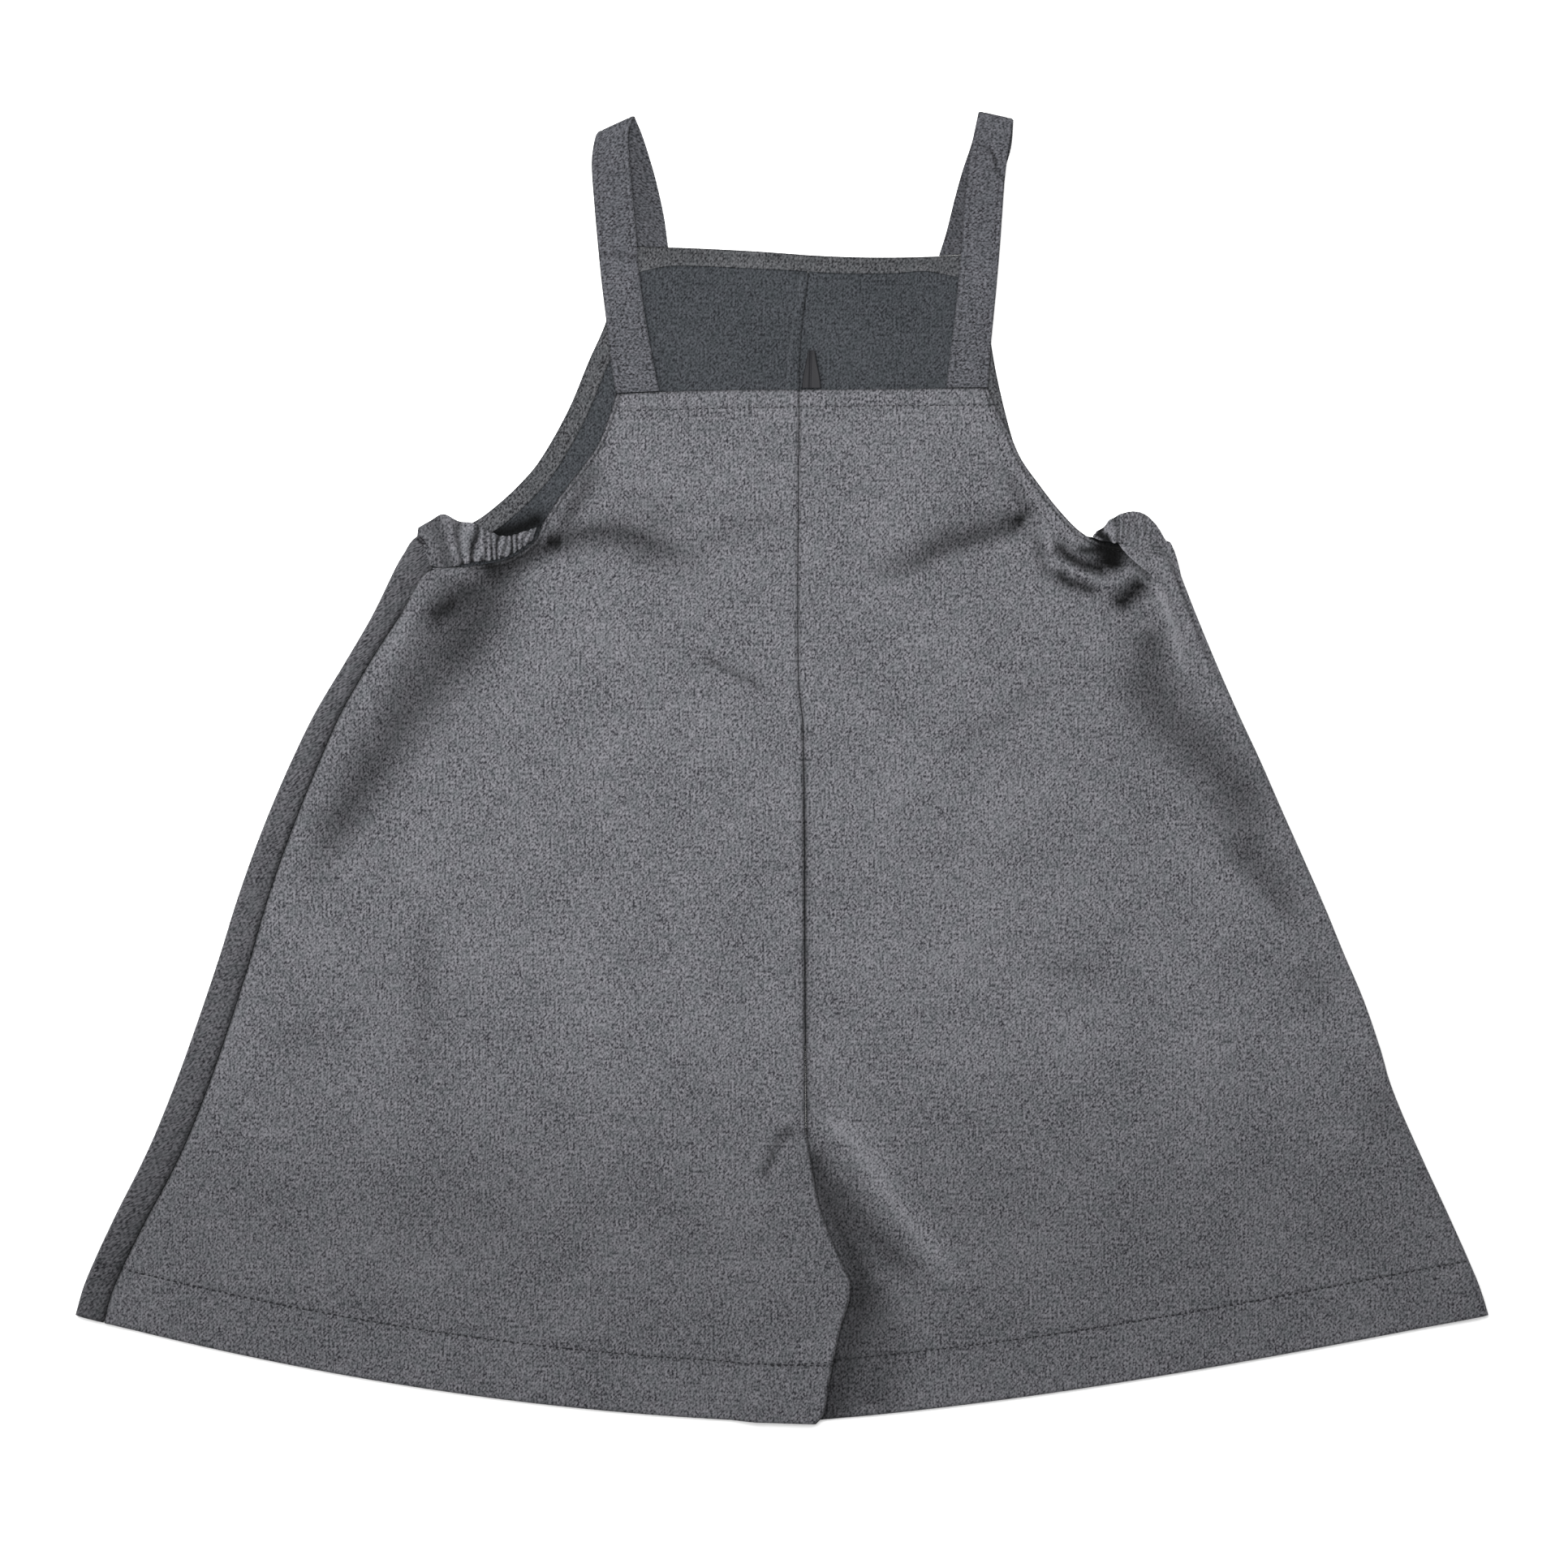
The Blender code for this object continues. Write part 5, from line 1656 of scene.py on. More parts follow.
@dataclass(frozen=True)
class ArmholeFacing:
    """The facing along a front armhole."""

    name: str
    node: str
    side: Side
    top: tuple[Armhole, ...]
    first_y: float
    wall: float = 0.9
    lift: Mark = Mark(0.0, 2.0, 0.25)
    edge_round: Mark = Mark(0.0, 0.45, 0.4)
    edge_groove: Mark = Mark(2.0, 0.5, 0.14)
    # Painted shade along the armhole edge
    edge_shade: Mark = Mark(0.0, 0.6, 0.3)
    free_round: Mark = Mark(0.0, 0.4, 0.35)
    free_groove: Mark = Mark(2.0, 0.5, 0.22)
    free_pucker: Mark = Mark(2.0, 2.5, 0.12)
    free_press_and_sheen: Mark = Mark(0.6, 0.7, 0.5)
    # Painted shade along the free edge, which stands off the cloth below
    free_shade: Mark = Mark(0.0, 0.5, 0.25)

    def edge(self) -> list[tuple[float, float]]:
        """Points of the armhole's edge, from where the facing starts."""
        points = [(row.edge_x, row.edge_y) for row in self.top[:FACING_ROWS]]
        (first_x, corner_y), (second_x, second_y) = points[:2]
        share = (corner_y - self.first_y) / (corner_y - second_y)
        return [(mix(first_x, second_x, share), self.first_y)] + points[1:]

    def line(self, inset: float, count: int = 120) -> Array:
        """Points along the facing, some way in from the armhole's edge."""
        along_x, along_y, length = path_curves(self.edge())
        run = np.linspace(0.0, length, count)
        x, y = along_x.at(run), along_y.at(run)
        run_x, run_y = np.gradient(x), np.gradient(y)
        speed = np.hypot(run_x, run_y)
        hand = self.side.value * inset / speed
        return np.stack([x + run_y * hand, y - run_x * hand], axis=1)

    def cloth(self) -> Cloth:
        """Lay the facing's grid.

        Returns:
            The grid.
        """
        spots = (0.0, self.edge_groove.inset, FACING_WIDTH - self.free_groove.inset,
                 FACING_WIDTH)
        inset = close_places(FACING_WIDTH, spots, 0.55, (0.18, 0.36))
        lines = np.stack([self.line(SEAM_GAP + place) for place in inset], axis=1)
        x, y = lines[..., 0], lines[..., 1]
        run = np.linspace(0.0, 1.0, len(lines))[:, None]
        place = inset[None, :]
        free = FACING_WIDTH - place
        wave = 0.5 + 0.5 * np.sin(run * 23.0 + 2.0 * np.sin(run * 9.0))
        z = FACING_LEVEL + wave * self.lift.at(free)
        detail = (np.sin(run * 61.0) * self.free_pucker.at(free) - self.edge_round.at(place)
                  - self.free_round.at(free) - self.free_groove.at(free)
                  - self.edge_groove.at(place))
        return Cloth(x, y, z, x, y, self.wall, detail, self.free_press_and_sheen.at(free),
                     -self.edge_shade.at(place) - self.free_shade.at(free))

    def build(self, finishes: "Finishes") -> bpy.types.Object:
        """Make the facing.

        Args:
            finishes: The garment's finishes.

        Returns:
            The piece.
        """
        return make_shell(self.name, self.cloth(), finishes.facing, finishes.inside)


@dataclass(frozen=True)
class SeamAllowance:
    """The centre front's seam allowance, pressed to one side on the inner face."""

    name: str = "seam_allowance_cloth"
    node: str = "front_seam_allowance"
    wall: float = 0.9
    lap: float = 0.8
    free_round: Mark = Mark(0.0, 0.4, 0.3)
    free_press_and_sheen: Mark = Mark(0.4, 0.6, 1.8)
    seam_round: Mark = Mark(0.0, 0.5, 0.5)
    # Painted shade along the seam
    seam_shade: Mark = Mark(0.0, 0.6, 0.5)
    fray: float = 0.1

    def cloth(self) -> Cloth:
        """Lay the allowance's grid.

        Returns:
            The grid.
        """
        share = np.linspace(0.0, 1.0, 160)[:, None]
        y = mix(ALLOWANCE_TOP_Y, ALLOWANCE_END_Y, share)
        width = mix(ALLOWANCE_WIDTH_TOP, ALLOWANCE_WIDTH, ease(share * 4.0))
        across = close_places(1.0, (0.0, 1.0), 0.1, (0.03,))[None, :]
        x = FORM.centre_x(Side.LEFT, Face.FAR, y) + self.lap - (width + self.lap) * across
        full = y + 0.0 * across
        free = width * (1.0 - across)
        from_seam = width * across
        frayed = self.fray * np.sin(full * 2.3 + 2.0 * np.sin(full * 0.9))
        z = FACING_LEVEL + 0.0 * x
        detail = self.fray * frayed - self.free_round.at(free) - self.seam_round.at(from_seam)
        return Cloth(x, full, z, x, full, self.wall, detail,
                     self.free_press_and_sheen.at(free - frayed), -self.seam_shade.at(from_seam))

    def build(self, finishes: "Finishes") -> bpy.types.Object:
        """Make the allowance.

        Args:
            finishes: The garment's finishes.

        Returns:
            The piece.
        """
        return make_shell(self.name, self.cloth(), finishes.inside, finishes.inside)


class Gather(NamedTuple):
    """How many gathers have passed at a place along a casing, and how high they are."""

    place: float
    passed: float
    height: float


@dataclass(frozen=True)
class Casing:
    """A gathered elastic casing under an arm."""

    name: str
    node: str
    bands: tuple[Band, ...]
    gathers: tuple[Gather, ...]
    flat: tuple[float, float]
    area: float
    # Painted shade laid on the casing's plain end, and where that end starts and fades in
    smooth: float = 0.0
    smooth_from: float = 0.55
    smooth_fade: float = 0.2
    columns: int = 220
    wall: float = 0.8
    slant: float = 0.25
    unevenness: float = 0.25
    end_fade: float = 0.05
    lower_curl: float = 0.4
    lower_curl_share: float = 0.2
    edge_lead: float = 0.12
    edge_round: Mark = Mark(0.0, 1.0 / 12.0, 0.3)
    edge_press_and_sheen: Mark = Mark(0.08, 0.06, 0.4)
    # Painted shade in the gap below the casing, an even painted shade, and painted shade and
    # highlight that follow the gathers
    lower_shade: Mark = Mark(1.0, 0.05, 0.5)
    shade: float = 0.2
    gather_shade: float = 1.2
    darkest: float = -0.92
    lightest: float = 0.1

    def cloth(self) -> Cloth:
        """Lay the casing's grid.

        Returns:
            The grid.
        """
        keys = np.linspace(0.0, 1.0, len(self.bands))
        share = np.linspace(0.0, 1.0, self.columns)[None, :]
        upper_x, upper_y, lower_x, lower_y, level = (
            Curve(keys, [row[index] for row in self.bands]).at(share) for index in range(5))
        down = close_places(1.0, (0.0, 1.0), 0.055, (0.02,))[:, None]
        places = [gather.place for gather in self.gathers]
        passed = Curve(places, [gather.passed for gather in self.gathers]).at(share)
        height = Curve(places, [gather.height for gather in self.gathers]).at(share)
        slant = passed + self.slant * np.sin(down * 3.0 + passed * 1.7)
        uneven = 1.0 - self.unevenness + self.unevenness * np.sin(passed * 2.3 + 0.6)
        fade = ease(share / self.end_fade) * ease((1.0 - share) / self.end_fade)
        wave = height * uneven * fade * np.cos(2.0 * math.pi * slant)
        lower = ease((down - 1.0 + self.lower_curl_share) / self.lower_curl_share)
        curl = CASING_CURL * (1.0 - ease(down * 2.5)) + self.lower_curl * lower
        z = level - curl + wave * np.sin(math.pi * mix(self.edge_lead, 1.0 - self.edge_lead,
                                                       down))
        x = mix(upper_x, lower_x, down)
        y = mix(upper_y, lower_y, down) + 0.5 * wave * (1.0 - 2.0 * down)
        plain = 0.0 * share
        if self.smooth:
            plain = ease((share - self.smooth_from) / self.smooth_fade)
        # Painted shading: gather tops lighter and troughs darker, the plain end and the gap below
        # darker
        hollow = (self.gather_shade * wave - self.shade - self.smooth * plain
                  - (1.0 - plain) * self.lower_shade.at(down))
        return Cloth(x, y, z, x + 0.3 * passed, y, self.wall, -self.edge_round.at(down),
                     self.edge_press_and_sheen.at(down), np.clip(hollow, self.darkest, self.lightest))

    def build(self, finishes: "Finishes") -> bpy.types.Object:
        """Make the casing.

        Args:
            finishes: The garment's finishes.

        Returns:
            The piece.
        """
        return make_shell(self.name, self.cloth(), finishes.outside, finishes.inside)


CASINGS = (
    Casing("casing_left_cloth", "underarm_casing_left", LEFT_CASING,
           (Gather(0.0, 0.0, 0.5), Gather(0.2, 3.4, 0.65), Gather(0.44, 7.8, 0.6),
            Gather(0.62, 9.6, 0.5), Gather(0.76, 10.4, 0.22), Gather(1.0, 11.0, 0.05)),
           (0.1, 0.0185), 0.0009, 0.2),
    Casing("casing_right_cloth", "underarm_casing_right", RIGHT_CASING,
           (Gather(0.0, 0.0, 0.7), Gather(0.3, 1.0, 0.75), Gather(0.45, 2.6, 0.24),
            Gather(0.75, 6.0, 0.2), Gather(1.0, 8.6, 0.12)),
           (0.06, 0.0145), 0.00045),
)


@dataclass(frozen=True)
class HangerLoop:
    """The narrow ribbon loop that stands behind the back's top edge."""

    name: str = "hanger_loop_ribbon"
    node: str = "hanger_loop"
    wall: float = 0.6
    fold_share: float = 0.42
    top_round: float = 0.6
    top_from: float = 0.8
    edge_rib: Mark = Mark(0.55, 0.3, 0.18)
    edge_round: Mark = Mark(0.0, 0.2, 0.3)
    fold: Mark = Mark(0.0, 0.45, 0.4)

    def cloth(self) -> Cloth:
        """Lay the ribbon's grid.

        Returns:
            The grid.
        """
        share = np.linspace(0.0, 1.0, 60)[:, None]
        across = close_places(1.0, (0.0, self.fold_share, 1.0), 0.06, (0.02, 0.04))[None, :]
        width = mix(LOOP_BASE_WIDTH, LOOP_TOP_WIDTH, ease(share * 0.9))
        arch = np.sqrt(np.maximum(1.0 - np.square(2.0 * across - 1.0), 0.0))
        end = ease((share - self.top_from) / (1.0 - self.top_from))
        x = LOOP_X + width * (across - 0.5)
        y = mix(LOOP_BASE_Y, LOOP_TOP_Y, share) - self.top_round * (1.0 - arch) * end
        edge = width * np.minimum(across, 1.0 - across)
        detail = (self.edge_rib.at(edge) - self.edge_round.at(edge)
                  - self.fold.at(width * (across - self.fold_share)))
        return Cloth(x, y, LOOP_LEVEL + 0.0 * x, x, y, self.wall, detail)

    def build(self, finishes: "Finishes") -> bpy.types.Object:
        """Make the loop.

        Args:
            finishes: The garment's finishes.

        Returns:
            The piece.
        """
        return make_shell(self.name, self.cloth(), finishes.ribbon, finishes.ribbon)


@dataclass(frozen=True)
class UnderarmTuck:
    """The loose edge of cloth that falls from the right casing over the back."""

    name: str = "underarm_tuck_cloth"
    edge: Points = ((145.6, 107.4), (147.8, 101.5), (151.7, 95.4), (157.1, 90.0),
                    (162.9, 85.0), (167.2, 79.0))
    far_edge: Points = ((172.0, 99.6), (174.0, 95.5), (175.4, 91.0), (176.6, 86.0),
                        (178.0, 80.0), (179.6, 74.0))
    lift: float = 1.15
    sink: float = 1.5
    wall: float = 0.8
    fall: float = 1.15
    lower_end: float = 0.28
    upper_end: float = 0.12
    ripple: float = 0.3
    ripple_end: float = 0.5
    edge_round: Mark = Mark(0.0, 0.4, 0.35)
    edge_press_and_sheen: Mark = Mark(0.7, 0.7, 0.5)
    # Painted highlight along the tuck's edge, and an even painted shade over the tuck
    edge_light: Mark = Mark(0.5, 0.5, 0.3)
    shade: float = 0.1

    def cloth(self) -> Cloth:
        """Lay the tuck's grid.

        Returns:
            The grid.
        """
        down = np.linspace(0.0, 1.0, 60)
        near_x, near_y, near_length = path_curves(self.edge)
        far_x, far_y, far_length = path_curves(self.far_edge)
        across = close_places(1.0, (0.0,), 0.03, (0.006, 0.014))[None, :]
        x = mix(near_x.at(down * near_length)[:, None], far_x.at(down * far_length)[:, None],
                across)
        y = mix(near_y.at(down * near_length)[:, None], far_y.at(down * far_length)[:, None],
                across)
        down = down[:, None] + 0.0 * across
        ground = FORM.near_level(Side.RIGHT, x, y, FORM.relief(Side.RIGHT, x, y))
        rise = mix(self.lift, -self.sink, ease(across * self.fall))
        rise = mix(rise, -self.sink, ease((down - 1.0 + self.lower_end) / self.lower_end))
        upper = ease((self.upper_end - down) / self.upper_end) * ease(across * 3.0)
        rise = mix(rise, -0.6 * self.sink, upper)
        ripple = (self.ripple * np.sin(across * 14.0 + down * 4.0)
                  * ease((self.ripple_end - down) / self.ripple_end))
        z = ground + rise + ripple * ease(across * 4.0)
        gap = across * np.hypot(x[:, -1:] - x[:, :1], y[:, -1:] - y[:, :1])
        # Painted shade and highlight that follow the ripple, an even painted shade, and a painted
        # highlight along the edge
        return Cloth(x, y, z, x, y, self.wall, -self.edge_round.at(gap),
                     self.edge_press_and_sheen.at(gap),
                     self.ripple * ripple - self.shade + self.edge_light.at(gap))

    def build(self, finishes: "Finishes") -> bpy.types.Object:
        """Make the tuck.

        Args:
            finishes: The garment's finishes.

        Returns:
            The piece.
        """
        return make_shell(self.name, self.cloth(), finishes.outside, finishes.inside)


class Ground:
    """The finished surfaces, which stitches are laid on."""

    def __init__(self, pieces: Sequence[bpy.types.Object]) -> None:
        """Take the pieces that can carry stitches."""
        points: list[Vector] = []
        faces: list[tuple[int, ...]] = []
        for piece in pieces:
            start = len(points)
            points.extend(vertex.co.copy() for vertex in piece.data.vertices)
            faces.extend(tuple(start + corner for corner in face.vertices)
                         for face in piece.data.polygons)
        self.tree = BVHTree.FromPolygons(points, faces)

    def drop(self, x: float, y: float) -> Vector:
        """Point of the upper surface at a place in millimetres, in metres."""
        above = Vector((x * MM, y * MM, 0.1))
        found = self.tree.ray_cast(above, Vector((0.0, 0.0, -1.0)))[0]
        return found if found else Vector((x * MM, y * MM, 0.0))


class Stitch(NamedTuple):
    """Sizes of one kind of stitch, in millimetres."""

    pitch: float
    length: float
    breadth: float
    height: float


HEM_STITCH = Stitch(2.9, 1.7, 1.05, 0.45)
TOP_STITCH = Stitch(2.7, 1.3, 0.7, 0.3)
ARMHOLE_STITCH = Stitch(2.3, 1.2, 0.26, 0.2)
STRAP_STITCH = Stitch(2.3, 1.1, 0.4, 0.2)
FACING_STITCH = Stitch(2.5, 1.3, 0.7, 0.26)
FACING_EDGE_STITCH = Stitch(2.5, 1.2, 0.6, 0.26)
TACK_STITCH = Stitch(0.42, 0.3, 1.0, 0.3)
TOP_STITCH_DROP = 7.5
TOP_LEFT_END = 7.0
TOP_RIGHT_START = 8.2
ARMHOLE_STITCH_INSET = 1.9
FACING_STITCH_INSET = 1.7


class Tack(NamedTuple):
    """A short upright bar of stitches at the back's top."""

    label: str
    on: str
    x: float
    low_y: float
    high_y: float


TACKS = (
    Tack("left", "back_left_cloth", -14.6, 156.6, 163.1),
    Tack("right", "back_right_cloth", 23.6, 158.4, 163.6),
)


@dataclass(frozen=True)
class StitchRow:
    """A row of stitches along a path on the cloth, in millimetres."""

    name: str
    on: str
    path: Array
    stitch: Stitch


class Needle:
    """Sews rows of stitches with one node tree."""

    sizes = ("Pitch", "Length", "Breadth", "Height")
    segments = 6
    rings = 4
    least = 0.8
    most = 1.1
    seed = 7

    def __init__(self, thread: bpy.types.Material) -> None:
        """Build the tree that lays stitches along a line."""
        self.thread = thread
        self.tree = bpy.data.node_groups.new("stitch_row", "GeometryNodeTree")
        faces = self.tree.interface
        faces.new_socket("Geometry", in_out="INPUT", socket_type="NodeSocketGeometry")
        self.inputs = {
            size: faces.new_socket(size, in_out="INPUT",
                                   socket_type="NodeSocketFloat").identifier
            for size in self.sizes}
        self.inputs["Thread"] = faces.new_socket(
            "Thread", in_out="INPUT", socket_type="NodeSocketMaterial").identifier
        faces.new_socket("Geometry", in_out="OUTPUT", socket_type="NodeSocketGeometry")
        given = self.node("NodeGroupInput")
        line = self.node("GeometryNodeMeshToCurve")
        spaced = self.node("GeometryNodeResampleCurve")
        spaced.mode = "LENGTH"
        bead = self.node("GeometryNodeMeshUVSphere")
        bead.inputs["Segments"].default_value = self.segments
        bead.inputs["Rings"].default_value = self.rings
        bead.inputs["Radius"].default_value = 0.5
        tangent = self.node("GeometryNodeInputTangent")
        turned = self.node("FunctionNodeAlignRotationToVector")
        turned.axis = "X"
        uneven = self.node("FunctionNodeRandomValue")
        uneven.data_type = "FLOAT"
        size = self.node("ShaderNodeCombineXYZ")
        scaled = self.node("ShaderNodeVectorMath")
        scaled.operation = "SCALE"
        laid = self.node("GeometryNodeInstanceOnPoints")
        real = self.node("GeometryNodeRealizeInstances")
        smooth = self.node("GeometryNodeSetShadeSmooth")
        coloured = self.node("GeometryNodeSetMaterial")
        result = self.node("NodeGroupOutput")
        seeds = {socket.identifier: socket for socket in uneven.inputs}
        seeds["Min_001"].default_value = self.least
        seeds["Max_001"].default_value = self.most
        seeds["Seed"].default_value = self.seed
        random = next(socket for socket in uneven.outputs if socket.enabled)
        for start, end in (
                (given.outputs["Geometry"], line.inputs["Mesh"]),
                (line.outputs["Curve"], spaced.inputs["Curve"]),
                (given.outputs["Pitch"], spaced.inputs["Length"]),
                (tangent.outputs[0], turned.inputs["Vector"]),
                (given.outputs["Length"], size.inputs["X"]),
                (given.outputs["Breadth"], size.inputs["Y"]),
                (given.outputs["Height"], size.inputs["Z"]),
                (size.outputs[0], scaled.inputs[0]),
                (random, scaled.inputs["Scale"]),
                (spaced.outputs["Curve"], laid.inputs["Points"]),
                (bead.outputs["Mesh"], laid.inputs["Instance"]),
                (turned.outputs[0], laid.inputs["Rotation"]),
                (scaled.outputs[0], laid.inputs["Scale"]),
                (laid.outputs[0], real.inputs[0]),
                (real.outputs[0], smooth.inputs[0]),
                (smooth.outputs[0], coloured.inputs[0]),
                (given.outputs["Thread"], coloured.inputs["Material"]),
                (coloured.outputs[0], result.inputs[0])):
            self.tree.links.new(start, end)

    def node(self, kind: str) -> bpy.types.Node:
        """Add a node to the tree."""
        return self.tree.nodes.new(kind)

    def sew(self, row: StitchRow, ground: Ground) -> bpy.types.Object:
        """Sew one row.

        Args:
            row: The row.
            ground: What it is sewn on.

        Returns:
            The stitches as a plain mesh.
        """
        points = [ground.drop(float(x), float(y)) for x, y in row.path]
        mesh = bpy.data.meshes.new(row.name)
        mesh.from_pydata(points, [(index, index + 1) for index in range(len(points) - 1)], [])
        guide = bpy.data.objects.new(row.name + "_line", mesh)
        bpy.context.scene.collection.objects.link(guide)
        sewing = guide.modifiers.new("Sewing", "NODES")
        sewing.node_group = self.tree
        for size, value in zip(self.sizes, row.stitch):
            sewing[self.inputs[size]] = value * MM
        sewing[self.inputs["Thread"]] = self.thread
        graph = bpy.context.evaluated_depsgraph_get()
        made = bpy.data.meshes.new_from_object(guide.evaluated_get(graph))
        bpy.data.objects.remove(guide, do_unlink=True)
        made.name = row.name
        piece = bpy.data.objects.new(row.name, made)
        bpy.context.scene.collection.objects.link(piece)
        return piece


def hem_path(side: Side, rise: float) -> Array:
    """Points along a hem, some way above its bottom edge."""
    outer = float(FORM.outline[side].at(HEM_CORNER_Y + rise)) - side.value * 1.2
    inner = float(FORM.inseam[side].at(INSEAM_END_Y + rise)) + side.value * 0.8
    x = np.linspace(outer, inner, 120)
    return np.stack([x, FORM.hem_y(side, x) + rise], axis=1)


def top_path(drop: float) -> Array:
    """Points along the back's top edge, some way below it."""
    left, right = BACK_LEFT_TOP[0], BACK_RIGHT_TOP[0]
    x = np.linspace(left.edge_x - 1.6, right.edge_x + 2.2, 120)
    y = np.interp(x, [left.edge_x, 7.6, right.edge_x],
                  [left.edge_y, left.inner_y, right.edge_y])
    return np.stack([x, y - drop], axis=1)


def edge_path(top: tuple[Armhole, ...], side: Side, inset: float, count: int) -> Array:
    """Points along the armhole edge of a back panel, some way in from it."""
    along_x, along_y, length = path_curves([(row.edge_x, row.edge_y) for row in top[:count]])
    run = np.linspace(1.0, length - 1.0, 120)
    x, y = along_x.at(run), along_y.at(run)
    run_x, run_y = np.gradient(x), np.gradient(y)
    hand = side.value * inset / np.hypot(run_x, run_y)
    return np.stack([x + run_y * hand, y - run_x * hand], axis=1)


def stitch_rows(straps: Sequence[Strap], facings: Sequence[ArmholeFacing]) -> list[StitchRow]:
    """List the rows of stitches that show.

    Args:
        straps: The shoulder straps.
        facings: The armhole facings.

    Returns:
        The rows.
    """
    left_hem, right_hem = hem_path(Side.LEFT, HEM_DEPTH), hem_path(Side.RIGHT, HEM_DEPTH)
    top = top_path(TOP_STITCH_DROP)
    rows = [
        StitchRow("hem_left_stitches", "back_left_cloth", left_hem, HEM_STITCH),
        StitchRow("hem_right_stitches", "back_right_cloth", right_hem, HEM_STITCH),
        StitchRow("top_left_stitches", "back_left_cloth", top[top[:, 0] < TOP_LEFT_END],
                  TOP_STITCH),
        StitchRow("top_right_stitches", "back_right_cloth", top[top[:, 0] > TOP_RIGHT_START],
                  TOP_STITCH),
        StitchRow("armhole_left_stitches", "back_left_cloth",
                  edge_path(BACK_LEFT_TOP, Side.LEFT, ARMHOLE_STITCH_INSET, 8),
                  ARMHOLE_STITCH),
        StitchRow("armhole_right_stitches", "back_right_cloth",
                  edge_path(BACK_RIGHT_TOP, Side.RIGHT, ARMHOLE_STITCH_INSET, 9),
                  ARMHOLE_STITCH),
    ]
    for strap in straps:
        for label, from_left in (("left", True), ("right", False)):
            rows.append(StitchRow(f"{strap.node}_{label}_stitches", strap.name,
                                  strap.stitch_path(strap.stitch_groove.inset, from_left),
                                  STRAP_STITCH))
    for facing in facings:
        rows.append(StitchRow(f"{facing.node}_stitches", facing.name,
                              facing.line(FACING_WIDTH - FACING_STITCH_INSET),
                              FACING_STITCH))
        rows.append(StitchRow(f"{facing.node}_edge_stitches", facing.name,
                              facing.line(SEAM_GAP + FACING_STITCH_INSET),
                              FACING_EDGE_STITCH))
    for tack in TACKS:
        rows.append(StitchRow(f"tack_{tack.label}_stitches", tack.on,
                              np.array([(tack.x, tack.low_y), (tack.x, tack.high_y)]),
                              TACK_STITCH))
    return rows


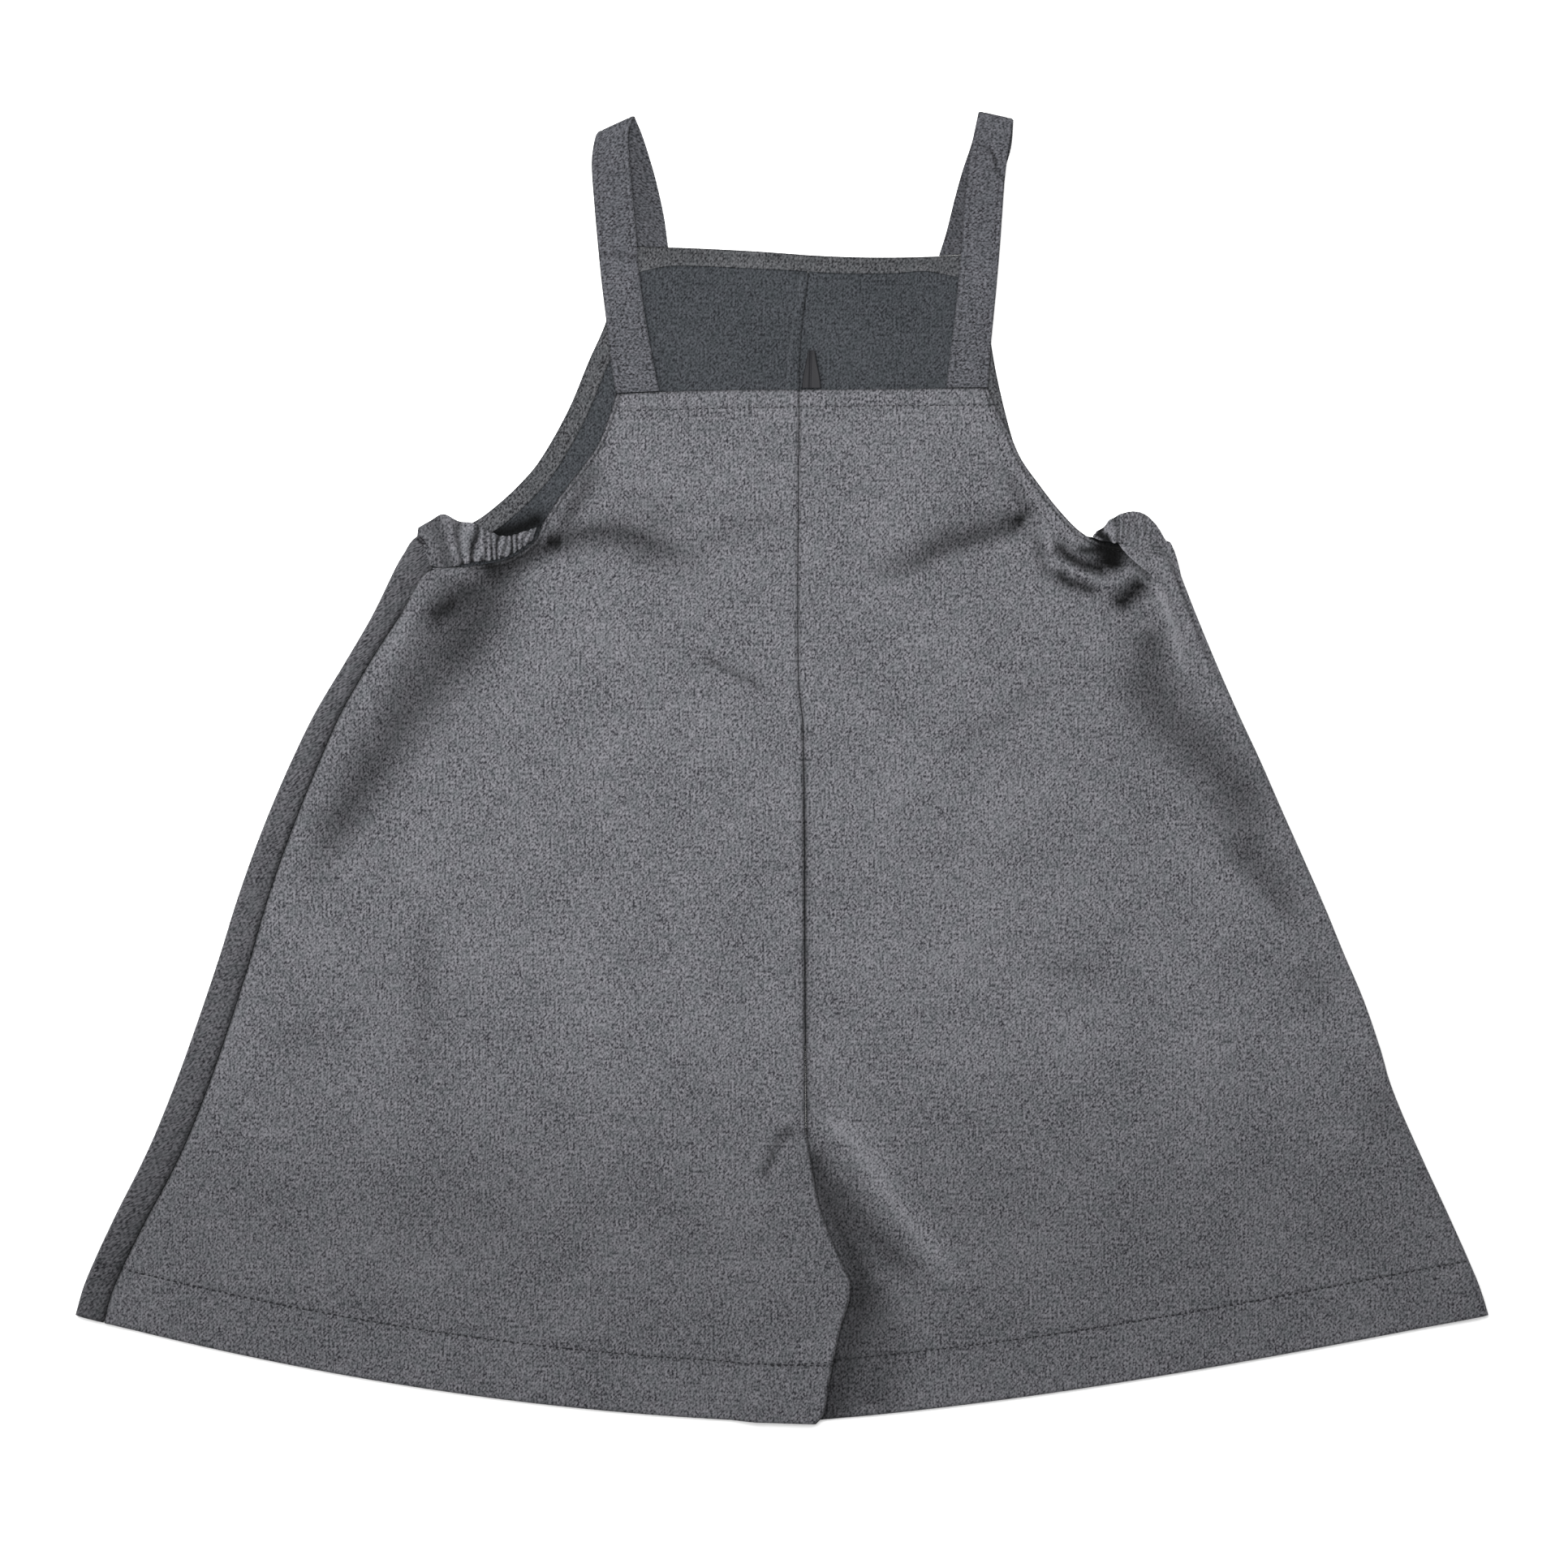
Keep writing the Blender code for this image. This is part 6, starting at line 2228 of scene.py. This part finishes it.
class Studio:
    """The floor, lights and camera."""

    view_centre = (0.0009, -0.0076)
    view_width = 0.6955
    lens = 85.0
    sensor = 36.0
    mid_height = 0.003
    clip_start = 0.01
    clip_end = 50.0
    floor_reach = 6.0
    floor_drop = 0.0003
    floor_colour = (0.92, 0.92, 0.92, 1.0)
    key_place = (-0.12, 0.16, 0.78)
    key_size = 0.6
    key_power = 15.5
    sky_strength = 0.78

    def floor(self) -> None:
        """Lay a pale floor."""
        far, low = self.floor_reach, -self.floor_drop
        mesh = bpy.data.meshes.new("floor")
        mesh.from_pydata([(-far, -far, low), (far, -far, low), (far, far, low),
                          (-far, far, low)], [], [(0, 1, 2, 3)])
        floor = bpy.data.objects.new("floor", mesh)
        bpy.context.scene.collection.objects.link(floor)
        graph = Graph("pale_floor")
        graph.shader.inputs["Base Color"].default_value = self.floor_colour
        graph.shader.inputs["Roughness"].default_value = 0.9
        graph.shader.inputs["Specular IOR Level"].default_value = 0.1
        mesh.materials.append(graph.material)

    def light(self, name: str, place: tuple[float, float, float], size: float,
              power: float) -> None:
        """Hang a soft square light that points at the garment."""
        lamp = bpy.data.lights.new(name, "AREA")
        lamp.size = size
        lamp.energy = power
        hung = bpy.data.objects.new(name, lamp)
        hung.location = place
        bpy.context.scene.collection.objects.link(hung)
        hung.rotation_euler = (-Vector(place)).to_track_quat("-Z", "Y").to_euler()

    def sky(self) -> None:
        """Light the scene evenly from all round."""
        world = bpy.data.worlds.new("soft_sky")
        world.use_nodes = True
        background = world.node_tree.nodes["Background"]
        background.inputs["Color"].default_value = (1.0, 1.0, 1.0, 1.0)
        background.inputs["Strength"].default_value = self.sky_strength
        bpy.context.scene.world = world
        bpy.context.scene.view_settings.view_transform = "Standard"

    def camera(self) -> None:
        """Hang the camera straight above the garment."""
        camera = bpy.data.cameras.new("camera")
        camera.lens = self.lens
        camera.sensor_width = self.sensor
        camera.clip_start = self.clip_start
        camera.clip_end = self.clip_end
        holder = bpy.data.objects.new("camera", camera)
        away = self.view_width * self.lens / self.sensor
        holder.location = (*self.view_centre, self.mid_height + away)
        bpy.context.scene.collection.objects.link(holder)
        bpy.context.scene.camera = holder

    def build(self) -> None:
        """Make the floor, light, sky and camera."""
        self.floor()
        self.light("key", self.key_place, self.key_size, self.key_power)
        self.sky()
        self.camera()


def fit(piece: bpy.types.Object, node: str | None) -> None:
    """Join a piece to the part's model.

    Args:
        piece: The piece.
        node: Solid that it takes the place of, if any.
    """
    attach(piece, BODY)
    if node:
        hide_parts(node)
    log.info("%s: %d points, %d faces", piece.name, len(piece.data.vertices),
             len(piece.data.polygons))


def main() -> None:
    """Build the garment piece by piece, then the studio."""
    logging.basicConfig(level=logging.INFO, format="%(message)s")
    finishes = Finishes()
    neck, allowance, loop, tuck = NeckFacing(), SeamAllowance(), HangerLoop(), UnderarmTuck()
    facings = (
        ArmholeFacing("armhole_facing_left_cloth", "front_armhole_facing_left", Side.LEFT,
                      FRONT_LEFT_TOP, LEFT_FACING_TOP_Y),
        ArmholeFacing("armhole_facing_right_cloth", "front_armhole_facing_right", Side.RIGHT,
                      FRONT_RIGHT_TOP, RIGHT_FACING_TOP_Y),
    )
    made: dict[str, bpy.types.Object] = {}
    for plan in (*PANELS, *STRAPS, neck, *facings, allowance, *CASINGS, loop, tuck):
        made[plan.name] = plan.build(finishes)
        fit(made[plan.name], getattr(plan, "node", None))
    needle = Needle(finishes.thread)
    ground = Ground(list(made.values()))
    sewn: dict[str, list[bpy.types.Object]] = {name: [] for name in made}
    for row in stitch_rows(STRAPS, facings):
        piece = needle.sew(row, ground)
        fit(piece, None)
        sewn[row.on].append(piece)
    Studio().build()


if __name__ == "__main__":
    main()
